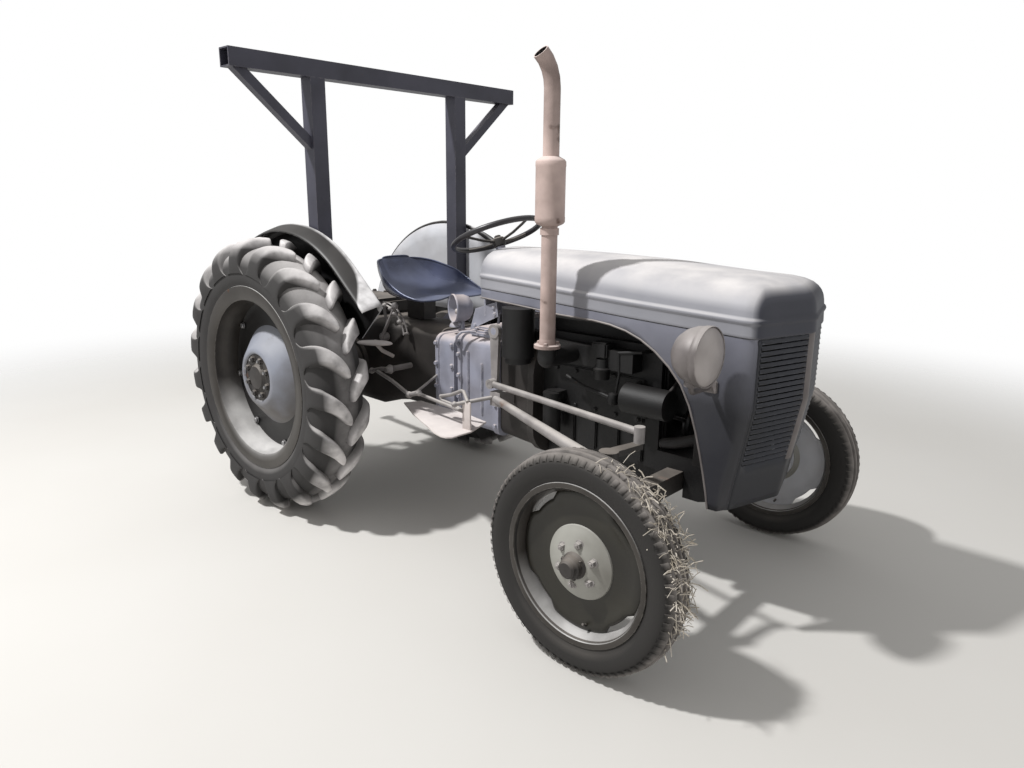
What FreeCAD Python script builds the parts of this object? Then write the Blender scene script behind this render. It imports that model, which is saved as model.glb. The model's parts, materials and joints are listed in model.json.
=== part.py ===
import FreeCAD, Part
import math
import os
import re
import Sketcher

# Farm tractor of the compact kind with a folding bonnet, a bare pan seat and a home-made roll bar.
# Frame: +X forward, +Y to the driver's left, +Z up, ground at z = 0, origin in the middle of the
# length. Every sub-part is drawn from the point on the ground under the rear axle and then set
# in place by its Placement.

doc = FreeCAD.newDocument("FarmTractor")
sizes = doc.addObject("Spreadsheet::Sheet", "Sizes")

# Driving dimensions in millimetres: name, value, what it is.
SIZE_TABLE = [
    ("wheelbase", 1778, "rear axle to front axle"),
    ("hitch_reach", 780, "lower link ends behind the rear axle"),
    ("nose_reach", 360, "foremost point of the grille ahead of the front axle"),
    ("running_gap", 0.3, "clearance between a moving piece and its seat"),
    ("rear_radius", 605, "rear tyre radius over the lugs"),
    ("rear_track", 1220, "between the rear tyre centres"),
    ("rear_width", 274, "rear tyre width"),
    ("rear_tread", 578, "rear tyre radius between the lugs"),
    ("rear_flange", 398, "rear rim flange radius"),
    ("rear_rim_width", 220, "rear rim over its flanges"),
    ("rim_wall", 7, "rim and disc sheet"),
    ("front_radius", 342, "front tyre radius"),
    ("front_track", 1320, "between the front tyre centres"),
    ("front_width", 114, "front tyre width"),
    ("front_flange", 257, "front rim flange radius"),
    ("front_rim_width", 92, "front rim over its flanges"),
    ("kingpin_spread", 1090, "between the kingpins"),
    ("kingpin_radius", 16, "kingpin"),
    ("axle_level", 470, "middle of the front axle beam"),
    ("axle_depth", 64, "front axle beam height"),
    ("support_top", 543, "top of the front support"),
    ("support_width", 300, "front support"),
    ("engine_back", 1180, "rear face of the engine"),
    ("engine_front", 1700, "front face of the engine"),
    ("engine_base", 470, "bottom of the cylinder block"),
    ("engine_top", 900, "top of the cylinder block"),
    ("engine_width", 280, "cylinder block"),
    ("sump_depth", 70, "oil sump below the block"),
    ("head_height", 60, "cylinder head"),
    ("gearbox_back", 700, "joint between gearbox and rear housing"),
    ("gearbox_top", 850, "top of the gearbox"),
    ("gearbox_base", 425, "bottom of the gearbox"),
    ("gearbox_width", 330, "gearbox"),
    ("bell_width", 400, "clutch housing at the engine"),
    ("housing_back", 230, "rear housing behind the rear axle"),
    ("housing_width", 340, "rear housing"),
    ("trumpet_inner", 95, "axle trumpet radius at the housing"),
    ("trumpet_outer", 62, "axle trumpet radius at the drum"),
    ("drum_inner", 430, "inner face of the brake drum from the middle"),
    ("drum_width", 70, "brake drum"),
    ("drum_radius", 178, "brake drum"),
    ("fender_inner", 446, "fender plate from the middle"),
    ("fender_width", 100, "fender crown"),
    ("fender_radius", 657, "outer face of the fender crown about the axle"),
    ("fender_wall", 4, "fender sheet"),
    ("fender_back", 160, "rear end of the fender crown, degrees above the forward level"),
    ("fender_front", 50, "where the fender crown turns straight, degrees"),
    ("fender_tail", 230, "straight front end of the fender crown"),
    ("hood_width", 520, "bonnet"),
    ("hood_back", 902, "rear edge of the bonnet"),
    ("hood_high", 1184, "bonnet top at its rear edge"),
    ("hood_fall", 44, "bonnet top lower at the nose"),
    ("hood_seam", 1034, "seam between bonnet top and side panels"),
    ("nose_waist", 777, "where the side panels turn in to the chin"),
    ("nose_chin", 437, "lower edge of the side panels"),
    ("nose_tuck", 62, "how far the chin stands back"),
    ("hood_wall", 5, "bonnet sheet with its rolled edge"),
    ("hood_hinge_x", 1985, "bonnet hinge ahead of the rear axle"),
    ("hood_hinge_z", 450, "bonnet hinge height"),
    ("hinge_pin", 8, "bonnet hinge pin radius"),
    ("lamp_radius", 88, "headlamp"),
    ("lamp_x", 1990, "headlamp lens ahead of the rear axle"),
    ("lamp_y", 398, "headlamp from the middle"),
    ("lamp_z", 966, "headlamp height"),
    ("stack_x", 1362, "exhaust stack ahead of the rear axle"),
    ("stack_y", 340, "exhaust stack from the middle"),
    ("stack_base", 880, "lower flange of the exhaust stack"),
    ("stack_top", 1770, "top of the exhaust stack"),
    ("stack_radius", 27, "exhaust pipe"),
    ("muffler_radius", 50, "muffler"),
    ("muffler_low", 1297, "lower end of the muffler"),
    ("muffler_high", 1502, "upper end of the muffler"),
    ("wheel_hub_x", 795, "middle of the steering wheel rim ahead of the rear axle"),
    ("wheel_hub_z", 1230, "middle of the steering wheel rim, height"),
    ("wheel_rim", 187, "steering wheel rim circle"),
    ("wheel_grip", 11, "steering wheel rim section"),
    ("wheel_dish", 28, "steering wheel hub below the rim"),
    ("column_tilt", 23, "steering column from upright, degrees"),
    ("drop_pivot_x", 1005, "drop arm pivot ahead of the rear axle"),
    ("drop_pivot_z", 880, "drop arm pivot height"),
    ("sector_radius", 14, "steering sector shaft in the drop arm"),
    ("drop_length", 206, "drop arm between centres"),
    ("drop_y", 226, "drop arm from the middle"),
    ("arm_length", 127, "steering arm from kingpin to drag link"),
    ("arm_lead", 22, "drag link end ahead of the kingpin"),
    ("drag_level", 690, "front end of the drag link"),
    ("link_radius", 12, "drag link tube"),
    ("post_gap", 6, "clearance between a roll bar post and the fender plate"),
    ("tube_side", 70, "roll bar square tube"),
    ("tube_wall", 5, "roll bar tube wall"),
    ("bar_x", 120, "roll bar ahead of the rear axle"),
    ("beam_top", 1925, "top of the roll bar"),
    ("beam_length", 1580, "roll bar cross tube"),
    ("brace_drop", 285, "brace foot below the cross tube"),
    ("seat_back", 85, "rear lip of the seat pan ahead of the rear axle"),
    ("seat_z", 935, "bottom of the seat pan"),
    ("seat_length", 445, "seat pan"),
    ("seat_width", 470, "seat pan"),
    ("seat_rise", 138, "rear lip of the seat pan above its bottom"),
    ("lift_pivot_x", -130, "lift shaft ahead of the rear axle"),
    ("lift_pivot_z", 870, "lift shaft height"),
    ("lift_back", 254, "lift arm end behind the lift shaft"),
    ("lift_down", 92, "lift arm end below the lift shaft"),
    ("lift_foot", 340, "lift rod foot behind the lower link pivot"),
    ("tank_height", 80, "fuel tank"),
    ("louvre_pitch", 17, "between the grille slots"),
    ("louvre_base", 606, "lowest grille slot"),
    ("louvre_height", 8, "grille slot"),
    ("cover_top", 905, "top of the lift cover"),
    ("housing_top", 830, "top of the rear housing"),
    ("pto_level", 560, "power take-off shaft height"),
    ("pto_radius", 14.3, "power take-off shaft radius"),
    ("top_bore", 9.7, "top link pin hole radius"),
    ("top_level", 720, "top link pin height"),
    ("lower_pivot_x", -60, "lower link front pivot ahead of the rear axle"),
    ("lower_pivot_z", 400, "lower link front pivot height"),
    ("lower_spread", 520, "between the lower links at the front pivots"),
    ("lower_rear_z", 400, "lower link end height"),
    ("ball_bore", 11.2, "bore radius of the lower link balls"),
]
for row, (alias, number, meaning) in enumerate(SIZE_TABLE, start=1):
    sizes.set("A%d" % row, meaning)
    sizes.set("B%d" % row, str(number))
    sizes.setAlias("B%d" % row, alias)
doc.recompute()
ALIASES = {entry[0] for entry in SIZE_TABLE}

REAR_AXLE = "(hitch_reach - wheelbase - nose_reach) / 2"
nodes = []


def bound(formula):
    """The formula with each size name pointing at the sheet."""
    return re.sub(r"[a-z_]+[a-z]", lambda found: "Sizes." + found[0] if found[0] in ALIASES else found[0],
                  formula)


def value(formula):
    """The number that a formula of size names gives now."""
    return float(sizes.evalExpression(formula))


def bind(target, field, formula):
    target.setExpression(field, bound(formula))


def placed(piece, ahead="0"):
    """The piece moved from the rear axle to the origin of the frame; a bare primitive is wrapped first."""
    if piece.TypeId in ("Part::Box", "Part::Cylinder", "Part::Cone"):
        wrapped = doc.addObject("Part::Compound", piece.Name + "Set")
        wrapped.Links = [piece]
        piece = wrapped
    bind(piece, ".Placement.Base.x", "%s + %s" % (REAR_AXLE, ahead))
    return piece


def settle(piece, label, ahead="0"):
    """Names a finished sub-part and puts it in its place."""
    piece = placed(piece, ahead)
    piece.Label = label
    nodes.append(piece)
    return piece


def new_body(name):
    return doc.addObject("PartDesign::Body", name)


def datum(body, role):
    return next(item for item in body.Origin.OriginFeatures if item.Role == role)


def bowed(here, there, bow):
    """The arc between two points that bows to the left of the way there by a share of its chord."""
    chord = there - here
    left = FreeCAD.Vector(-chord.y, chord.x, 0) / chord.Length
    radius = chord.Length * (1 + 4 * bow ** 2) / (8 * abs(bow))
    centre = (here + there) / 2 + left * (bow * chord.Length - math.copysign(radius, bow))
    ends = (there, here) if bow > 0 else (here, there)
    angles = [math.atan2(end.y - centre.y, end.x - centre.x) for end in ends]
    return Part.ArcOfCircle(Part.Circle(centre, FreeCAD.Vector(0, 0, 1), radius), angles[0], angles[1])


def outline(body, plane, points, offset="0"):
    """A closed sketch through points given as formulas; a third entry bows the edge that follows."""
    sketch = body.newObject("Sketcher::SketchObject", body.Name + "Sketch")
    sketch.AttachmentSupport = [(datum(body, plane), "")]
    sketch.MapMode = "FlatFace"
    bind(sketch, ".AttachmentOffset.Base.z", offset)
    places = [FreeCAD.Vector(value(point[0]), value(point[1]), 0) for point in points]
    count = len(points)
    arc_start = []
    for index, point in enumerate(points):
        here = places[index]
        there = places[(index + 1) % count]
        edge = Part.LineSegment(here, there)
        if len(point) > 2:
            edge = bowed(here, there, point[2])
        arc_start.append(2 if len(point) > 2 and point[2] > 0 else 1)
        sketch.addGeometry(edge, False)
    for index in range(count):
        after = (index + 1) % count
        sketch.addConstraint(Sketcher.Constraint("Coincident", index, 3 - arc_start[index], after,
                arc_start[after]))
    for index, point in enumerate(points):
        for kind, formula, number in (("DistanceX", point[0], places[index].x),
                                      ("DistanceY", point[1], places[index].y)):
            rule = sketch.addConstraint(Sketcher.Constraint(kind, -1, 1, index, arc_start[index], number))
            sketch.setExpression("Constraints[%d]" % rule, bound(formula))
    for index, point in enumerate(points):
        if len(point) > 2:
            after = points[(index + 1) % count]
            chord = "sqrt(((%s) - (%s)) ^ 2 + ((%s) - (%s)) ^ 2)" % (point[0], after[0], point[1], after[1])
            radius = "%s * %.9f" % (chord, (1 + 4 * point[2] ** 2) / (8 * abs(point[2])))
            rule = sketch.addConstraint(Sketcher.Constraint("Radius", index, value(radius)))
            sketch.setExpression("Constraints[%d]" % rule, bound(radius))
    return sketch


def disc_sketch(body, plane, x, y, radius, offset="0"):
    """A circle given by formulas for its centre and radius."""
    sketch = body.newObject("Sketcher::SketchObject", body.Name + "Circle")
    sketch.AttachmentSupport = [(datum(body, plane), "")]
    sketch.MapMode = "FlatFace"
    bind(sketch, ".AttachmentOffset.Base.z", offset)
    centre = FreeCAD.Vector(value(x), value(y), 0)
    sketch.addGeometry(Part.Circle(centre, FreeCAD.Vector(0, 0, 1), value(radius)), False)
    rules = (("DistanceX", x, centre.x), ("DistanceY", y, centre.y))
    for kind, formula, number in rules:
        rule = sketch.addConstraint(Sketcher.Constraint(kind, -1, 1, 0, 3, number))
        sketch.setExpression("Constraints[%d]" % rule, bound(formula))
    rule = sketch.addConstraint(Sketcher.Constraint("Radius", 0, value(radius)))
    sketch.setExpression("Constraints[%d]" % rule, bound(radius))
    return sketch


def pad(body, sketch, length, middle=True, back=False):
    feature = body.newObject("PartDesign::Pad", body.Name + "Pad")
    feature.Profile = sketch
    bind(feature, "Length", length)
    feature.Midplane = middle
    feature.Reversed = back
    return feature


def pocket(body, sketch, length, middle=True, back=False):
    feature = body.newObject("PartDesign::Pocket", body.Name + "Pocket")
    feature.Profile = sketch
    bind(feature, "Length", length)
    feature.Midplane = middle
    feature.Reversed = back
    return feature


def turn(body, sketch, role):
    feature = body.newObject("PartDesign::Revolution", body.Name + "Turn")
    feature.Profile = sketch
    feature.ReferenceAxis = (datum(body, role), [""])
    feature.Angle = 360
    return feature


def around(body, feature, count):
    """The feature repeated about the axle."""
    ring = body.newObject("PartDesign::PolarPattern", body.Name + "Ring")
    ring.Originals = [feature]
    ring.Axis = (datum(body, "Y_Axis"), [""])
    ring.Angle = 360
    ring.Occurrences = count
    body.Tip = ring
    return ring


def loft(body, sketches, cut=False):
    kind = "PartDesign::SubtractiveLoft" if cut else "PartDesign::AdditiveLoft"
    feature = body.newObject(kind, body.Name + "Loft")
    feature.Profile = sketches[0]
    feature.Sections = sketches[1:]
    feature.Ruled = True
    return feature


def mirrored(source, label):
    """The same piece on the other side of the tractor."""
    twin = doc.addObject("Part::Mirroring", label)
    twin.Source = source
    twin.Normal = (0, 1, 0)
    twin.Base = (0, 0, 0)
    twin.Label = label
    nodes.append(twin)
    return twin


def pair(source, label):
    """One sub-part of two like solids, left and right."""
    twin = doc.addObject("Part::Mirroring", label + "Twin")
    twin.Source = source
    twin.Normal = (0, 1, 0)
    twin.Base = (0, 0, 0)
    both = doc.addObject("Part::Compound", label)
    both.Links = [source, twin]
    both.Label = label
    nodes.append(both)
    return both


def bevelled(half, low, high, cut):
    """A rectangle with bevelled corners, as section of a casting."""
    return [
        ("-(%s)" % half, "%s + %s" % (low, cut)),
        ("-(%s) + %s" % (half, cut), low),
        ("%s - %s" % (half, cut), low),
        (half, "%s + %s" % (low, cut)),
        (half, "%s - %s" % (high, cut)),
        ("%s - %s" % (half, cut), high),
        ("-(%s) + %s" % (half, cut), high),
        ("-(%s)" % half, "%s - %s" % (high, cut)),
    ]


def casting(name, stations):
    """A casting lofted through bevelled sections: place along X, half width, bottom, top, bevel."""
    body = new_body(name)
    sections = [outline(body, "YZ_Plane", bevelled(half, low, high, cut), x) for x, half, low, high,
                cut in stations]
    for first, second in zip(sections, sections[1:]):
        loft(body, [first, second])
    return body


def turned(name, profile, y_centre, z_centre):
    """A body of revolution about an axle along Y; the profile is (place along Y, radius)."""
    body = new_body(name)
    turn(body, outline(body, "YZ_Plane", profile), "Y_Axis")
    bind(body, ".Placement.Base.y", y_centre)
    bind(body, ".Placement.Base.z", z_centre)
    return body


def bar(name, start, end, radius, tip_radius=None):
    """A round bar between two points given as formulas."""
    first = FreeCAD.Vector(*[value(part) for part in start])
    last = FreeCAD.Vector(*[value(part) for part in end])
    span = last - first
    rod = doc.addObject("Part::Cone" if tip_radius else "Part::Cylinder", name)
    if tip_radius:
        bind(rod, "Radius1", radius)
        bind(rod, "Radius2", tip_radius)
    else:
        bind(rod, "Radius", radius)
    rod.Height = span.Length
    rod.Placement = FreeCAD.Placement(first, FreeCAD.Rotation(FreeCAD.Vector(0, 0, 1), span))
    return rod


def ball(name, centre, radius):
    """A ball that rounds the joint of two bars."""
    sphere = doc.addObject("Part::Sphere", name)
    bind(sphere, "Radius", radius)
    for field, formula in zip("xyz", centre):
        bind(sphere, ".Placement.Base." + field, formula)
    return sphere


def block(name, corner, size):
    """A box from its low corner and its size, all formulas."""
    box = doc.addObject("Part::Box", name)
    for field, formula in zip(("Length", "Width", "Height"), size):
        bind(box, field, formula)
    for field, formula in zip("xyz", corner):
        bind(box, ".Placement.Base." + field, formula)
    return box


def fused(name, pieces):
    both = doc.addObject("Part::MultiFuse", name)
    both.Shapes = pieces
    return both


def cut(name, base, tool):
    rest = doc.addObject("Part::Cut", name)
    rest.Base = base
    rest.Tool = tool
    return rest


# Engine: cylinder block, sump below and head above, one heavy casting.
engine = new_body("Engine")
block_face = outline(engine, "XZ_Plane", [
    ("engine_back", "engine_base"), ("engine_front", "engine_base"),
    ("engine_front", "engine_top"), ("engine_back", "engine_top")])
pad(engine, block_face, "engine_width")
sump_face = outline(engine, "XZ_Plane", [
    ("engine_back + 10", "engine_base - sump_depth"), ("engine_front - 30", "engine_base - sump_depth"),
    ("engine_front - 10", "engine_base"), ("engine_back + 10", "engine_base")])
pad(engine, sump_face, "engine_width - 60")
head_face = outline(engine, "XZ_Plane", [
    ("engine_back + 12", "engine_top"), ("engine_front - 12", "engine_top"),
    ("engine_front - 12", "engine_top + head_height"), ("engine_back + 12", "engine_top + head_height")])
pad(engine, head_face, "engine_width - 70")
settle(engine, "engine")

# Clutch housing and gearbox, then the rear housing with the differential.
gearbox = casting("Gearbox", [
    ("gearbox_back", "gearbox_width / 2", "gearbox_base", "gearbox_top", "40"),
    ("gearbox_back + 360", "gearbox_width / 2", "gearbox_base", "gearbox_top", "40"),
    ("engine_back", "bell_width / 2", "gearbox_base - 25", "gearbox_top", "120")])
settle(gearbox, "gearbox")

rear_housing = casting("RearHousing", [
    ("gearbox_back", "gearbox_width / 2 - 6", "gearbox_base + 6", "gearbox_top - 6", "40"),
    ("gearbox_back - 300", "housing_width / 2", "gearbox_base - 5", "housing_top", "40"),
    ("-housing_back", "housing_width / 2", "gearbox_base", "housing_top", "40")])

# Axle trumpets and brake drums, left and right.
trumpet = turned("Trumpet", [
    ("housing_width / 2", "0"), ("housing_width / 2", "trumpet_inner + 18"),
    ("housing_width / 2 + 20", "trumpet_inner + 18"), ("housing_width / 2 + 20", "trumpet_inner"),
    ("drum_inner - 24", "trumpet_outer"), ("drum_inner - 16", "trumpet_outer + 40"),
    ("drum_inner", "trumpet_outer + 40"), ("drum_inner", "0")], "0", "rear_radius")
drum = turned("Drum", [
    ("drum_inner", "0"), ("drum_inner", "drum_radius - 8"), ("drum_inner + 12", "drum_radius"),
    ("drum_inner + drum_width - 14", "drum_radius"), ("drum_inner + drum_width", "drum_radius - 14"),
    ("drum_inner + drum_width", "0")], "0", "rear_radius")
bracket_y = "lower_spread / 2 - 36"
link_bracket = fused("BracketAll", [
    block("BracketPlate", ("lower_pivot_x - 25", bracket_y, "lower_pivot_z - 35"),
          ("90", "14", "rear_radius - lower_pivot_z")),
    bar("BracketPin", ("lower_pivot_x", bracket_y, "lower_pivot_z"),
        ("lower_pivot_x", bracket_y + " + 60", "lower_pivot_z"), "14")])
pair(placed(fused("RearAxle", [trumpet, drum, link_bracket])), "axle_trumpets")

# Rear wheels: hub, dished disc and rim in one, with the lugged tyre on it.
hub_face = "drum_inner + drum_width + running_gap - rear_track / 2"
half_rim = "rear_rim_width / 2"
rear_wheel = turned("RearWheelLeft", [
    (hub_face, "0"), (hub_face, "60"), ("26", "60"), ("26", "150"), ("-14", "205"),
    ("-14", "rear_flange - 58"), ("-(%s)" % half_rim, "rear_flange - 58"),
    ("-(%s)" % half_rim, "rear_flange"),
    ("-(%s) + rim_wall" % half_rim, "rear_flange"), ("-(%s) + rim_wall" % half_rim, "rear_flange - 50"),
    ("%s - rim_wall" % half_rim, "rear_flange - 50"), ("%s - rim_wall" % half_rim, "rear_flange"),
    (half_rim, "rear_flange"), (half_rim, "rear_flange - 58"), ("-14 + rim_wall", "rear_flange - 58"),
    ("-14 + rim_wall", "208"), ("26 + rim_wall", "153"), ("26 + rim_wall", "60"), ("58", "60"), ("58", "0")],
    "rear_track / 2", "rear_radius")
clamp = outline(rear_wheel, "XZ_Plane", [
    ("-24", "rear_flange - 112"), ("24", "rear_flange - 112"), ("24", "rear_flange - 55"),
    ("-24", "rear_flange - 55")],
    "7")
clamp_pad = pad(rear_wheel, clamp, "26", middle=False)
around(rear_wheel, clamp_pad, 8)
settle(rear_wheel, "rear_wheel_left")
mirrored(rear_wheel, "rear_wheel_right")

bead = "%s - rim_wall - running_gap" % half_rim
rear_tyre = turned("RearTyreLeft", [
    ("-(%s)" % bead, "rear_flange - 50 + running_gap"), ("-(%s)" % bead, "rear_flange + 4", 0.13),
    ("-rear_width / 2 + 14", "rear_tread - 26"), ("-rear_width / 2 + 34", "rear_tread - 6"),
    ("0", "rear_tread"),
    ("rear_width / 2 - 34", "rear_tread - 6"), ("rear_width / 2 - 14", "rear_tread - 26", 0.13),
    (bead, "rear_flange + 4"), (bead, "rear_flange - 50 + running_gap")], "rear_track / 2", "rear_radius")
lug_count = 19
shoulder = "rear_width / 2 - 4"
lug = [
    ("44", "3"), ("86", "3"), ("44", "rear_width * 0.26"), ("20", shoulder), ("-34", shoulder),
    ("0", "rear_width * 0.22")]
lug_base = "rear_tread - 40"
for side, turned_by in (("", 0), ("-", 180 / lug_count)):
    points = [(x, side + "(%s)" % y) for x, y in lug]
    face = outline(rear_tyre, "XY_Plane", points if turned_by else points[::-1], "0")
    face.AttachmentOffset.Rotation = FreeCAD.Rotation(FreeCAD.Vector(0, 1, 0), turned_by)
    bind(face, ".AttachmentOffset.Base.x", "(%s) * sin(%.6f)" % (lug_base, turned_by))
    bind(face, ".AttachmentOffset.Base.z", "(%s) * cos(%.6f)" % (lug_base, turned_by))
    raised = pad(rear_tyre, face, "rear_radius - rear_tread + 46", middle=False)
    around(rear_tyre, raised, lug_count)
crown = outline(rear_tyre, "YZ_Plane", [
    ("-rear_width", "rear_radius"), ("-rear_width", "rear_radius + 60"),
    ("rear_width", "rear_radius + 60"), ("rear_width", "rear_radius")])
trim = rear_tyre.newObject("PartDesign::Groove", "RearCrown")
trim.Profile = crown
trim.ReferenceAxis = (datum(rear_tyre, "Y_Axis"), [""])
trim.Angle = 360
settle(rear_tyre, "rear_tyre_left")
mirrored(rear_tyre, "rear_tyre_right")

# Front wheels: pressed disc, rim and ribbed tyre.
spindle_end = "(kingpin_spread - front_track) / 2 + 46"
half_front = "front_rim_width / 2"
front_wheel = turned("FrontWheelLeft", [
    (spindle_end, "17"), (spindle_end, "42"), ("-4", "42"), ("10", "96"), ("-8", "150"),
    ("-8", "front_flange - 32"), ("-(%s)" % half_front, "front_flange - 32"),
    ("-(%s)" % half_front, "front_flange"),
    ("-(%s) + 5" % half_front, "front_flange"), ("-(%s) + 5" % half_front, "front_flange - 26"),
    ("%s - 5" % half_front, "front_flange - 26"), ("%s - 5" % half_front, "front_flange"),
    (half_front, "front_flange"), (half_front, "front_flange - 32"), ("-3", "front_flange - 32"),
    ("-3", "152"), ("16", "98"), ("16", "58"), ("44", "50"), ("52", "34"), ("52", "17")],
    "front_track / 2", "front_radius")
gap_radius = "(front_flange - 38)"
gap_bow = -math.tan(math.radians(10)) / 2
gap = outline(front_wheel, "XZ_Plane", [
    (gap_radius + " * cos(25)", gap_radius + " * sin(25)", gap_bow),
    (gap_radius + " * cos(65)", gap_radius + " * sin(65)")], "0")
around(front_wheel, pocket(front_wheel, gap, "60"), 4)
settle(front_wheel, "front_wheel_left", "wheelbase")
mirrored(front_wheel, "front_wheel_right")

front_bead = "%s - 5 - running_gap" % half_front
front_tyre = turned("FrontTyreLeft", [
    ("-(%s)" % front_bead, "front_flange - 26 + running_gap"),
    ("-(%s)" % front_bead, "front_flange + 3", 0.2),
    ("-front_width / 2 + 12", "front_radius - 16"), ("-30", "front_radius - 4"), ("-26", "front_radius - 11"),
    ("-14", "front_radius - 11"), ("-10", "front_radius"), ("10", "front_radius"),
    ("14", "front_radius - 11"),
    ("26", "front_radius - 11"), ("30", "front_radius - 4"),
    ("front_width / 2 - 12", "front_radius - 16", 0.2),
    (front_bead, "front_flange + 3"), (front_bead, "front_flange - 26 + running_gap")],
    "front_track / 2", "front_radius")
settle(front_tyre, "front_tyre_left", "wheelbase")
mirrored(front_tyre, "front_tyre_right")

# Front axle: beam with a kingpin housing at each end, carried in the front support.
kingpin_y = "kingpin_spread / 2"
post_low = "axle_level - 60"
post_high = "axle_level + 130"
beam = new_body("AxleBeam")
beam_face = outline(beam, "YZ_Plane", [
    ("-(%s)" % kingpin_y, "axle_level - 20"), ("-320", "axle_level - axle_depth / 2 - 10"),
    ("320", "axle_level - axle_depth / 2 - 10"), (kingpin_y, "axle_level - 20"),
    (kingpin_y, "axle_level + 40"),
    ("320", "axle_level + axle_depth / 2 - 10"), ("-320", "axle_level + axle_depth / 2 - 10"),
    ("-(%s)" % kingpin_y, "axle_level + 40")], "wheelbase")
pad(beam, beam_face, "60")
for side in ("", "-"):
    post = disc_sketch(beam, "XY_Plane", "wheelbase", "%s(%s)" % (side, kingpin_y), "kingpin_radius + 18",
                       post_low)
    pad(beam, post, "%s - (%s)" % (post_high, post_low), middle=False)
for side in ("", "-"):
    bore = disc_sketch(beam, "XY_Plane", "wheelbase", "%s(%s)" % (side, kingpin_y),
                       "kingpin_radius + running_gap", "0")
    pocket(beam, bore, "engine_top", middle=False, back=True)
settle(beam, "axle_beam")

front_support = new_body("FrontSupport")
support_face = outline(front_support, "XZ_Plane", [
    ("engine_front", "axle_level - 40"), ("wheelbase - 33", "axle_level - 70"),
    ("wheelbase - 33", "axle_level + axle_depth / 2 - 10"),
    ("wheelbase + 33", "axle_level + axle_depth / 2 - 10"),
    ("wheelbase + 33", "axle_level - 70"), ("wheelbase + 92", "axle_level - 70"),
    ("hood_hinge_x + 13", "hood_hinge_z - 13"), ("hood_hinge_x + 13", "hood_hinge_z + 13"),
    ("hood_hinge_x - 20", "hood_hinge_z + 36"), ("hood_hinge_x - 20", "support_top"),
    ("engine_front", "support_top")])
pad(front_support, support_face, "support_width")
hinge_pin = bar("HingePin", ("hood_hinge_x", "-support_width / 2 - 26", "hood_hinge_z"),
                ("hood_hinge_x", "support_width / 2 + 26", "hood_hinge_z"), "hinge_pin")
settle(fused("SupportAll", [front_support, hinge_pin]), "front_support")

# Knuckles: kingpin, spindle and steering arm.
pin_top = "drag_level - 34"
spindle_y = "front_track / 2 + 40"
knuckle_parts = [
    bar("KingPin", ("wheelbase", kingpin_y, "front_radius - 24"), ("wheelbase", kingpin_y, pin_top),
        "kingpin_radius"),
    bar("KingCollar", ("wheelbase", kingpin_y, "front_radius - 30"),
        ("wheelbase", kingpin_y, "%s - running_gap" % post_low), "30"),
    bar("Spindle", ("wheelbase", kingpin_y, "front_radius"), ("wheelbase", spindle_y, "front_radius"), "16"),
    bar("SpindleFoot", ("wheelbase", kingpin_y, "front_radius"),
        ("wheelbase", "front_track / 2 + %s - running_gap" % spindle_end, "front_radius"), "26"),
    bar("ArmBoss", ("wheelbase", kingpin_y, "%s + running_gap" % post_high),
        ("wheelbase", kingpin_y, pin_top), "30")]
arm = new_body("SteerArm")
arm_face = outline(arm, "XY_Plane", [
    ("wheelbase - 20", kingpin_y), ("wheelbase + arm_lead - 16", "%s - arm_length" % kingpin_y),
    ("wheelbase + arm_lead", "%s - arm_length - 16" % kingpin_y),
    ("wheelbase + arm_lead + 16", "%s - arm_length" % kingpin_y), ("wheelbase + 20", kingpin_y)],
    "drag_level - 52")
pad(arm, arm_face, "18", middle=False)
knuckle_parts.append(arm)
knuckle = fused("KnuckleLeft", knuckle_parts)
settle(knuckle, "knuckle_left")
mirrored(knuckle, "knuckle_right")

# Steering: box and column, wheel, drop arms and drag links.
ball_z = "drop_pivot_z - drop_length"
drop = new_body("DropLeft")
drop_face = outline(drop, "XZ_Plane", [
    ("drop_pivot_x - 24", "drop_pivot_z"), ("drop_pivot_x - 14", ball_z),
    ("drop_pivot_x", "%s - 18" % ball_z),
    ("drop_pivot_x + 14", ball_z), ("drop_pivot_x + 24", "drop_pivot_z"),
    ("drop_pivot_x", "drop_pivot_z + 26")],
    "-drop_y")
pad(drop, drop_face, "14")
drop_hub = bar("DropHub", ("drop_pivot_x", "drop_y - 7", "drop_pivot_z"),
               ("drop_pivot_x", "drop_y + 12", "drop_pivot_z"), "27")
drop_bore = bar("DropBore", ("drop_pivot_x", "drop_y - 40", "drop_pivot_z"),
                ("drop_pivot_x", "drop_y + 40", "drop_pivot_z"), "sector_radius + running_gap")
stud_left = bar("DropStud", ("drop_pivot_x", "drop_y", ball_z), ("drop_pivot_x", "drop_y + 34", ball_z), "8")
drop_left = settle(cut("DropArmLeft", fused("DropAll", [drop, drop_hub, stud_left]), drop_bore),
                   "drop_arm_left")
mirrored(drop_left, "drop_arm_right")

front_ball = ("wheelbase + arm_lead", "%s - arm_length" % kingpin_y, "drag_level")
eye_y = "drop_y + 21"
eye = bar("DragEye", ("drop_pivot_x", "drop_y + 7 + running_gap", ball_z),
          ("drop_pivot_x", "drop_y + 36", ball_z), "19")
eye_bore = bar("DragBore", ("drop_pivot_x", "drop_y", ball_z), ("drop_pivot_x", "drop_y + 60", ball_z),
               "8 + running_gap")
link = bar("DragTube", ("drop_pivot_x", eye_y, ball_z), front_ball, "link_radius")
end_ball = bar("DragEnd", (front_ball[0], front_ball[1], "drag_level - 34 + running_gap"),
               (front_ball[0], front_ball[1], "drag_level + 18"), "17")
drag = cut("DragLinkLeft", fused("DragAll", [eye, link, end_ball]), eye_bore)
settle(drag, "drag_link_left")
mirrored(drag, "drag_link_right")

lean = math.radians(value("column_tilt"))


def on_column(distance):
    """The point on the steering column this far below the middle of the rim."""
    ahead = "wheel_hub_x + %.6f * (%s)" % (math.sin(lean), distance)
    return ahead, "0", "wheel_hub_z - %.6f * (%s)" % (math.cos(lean), distance)


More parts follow.
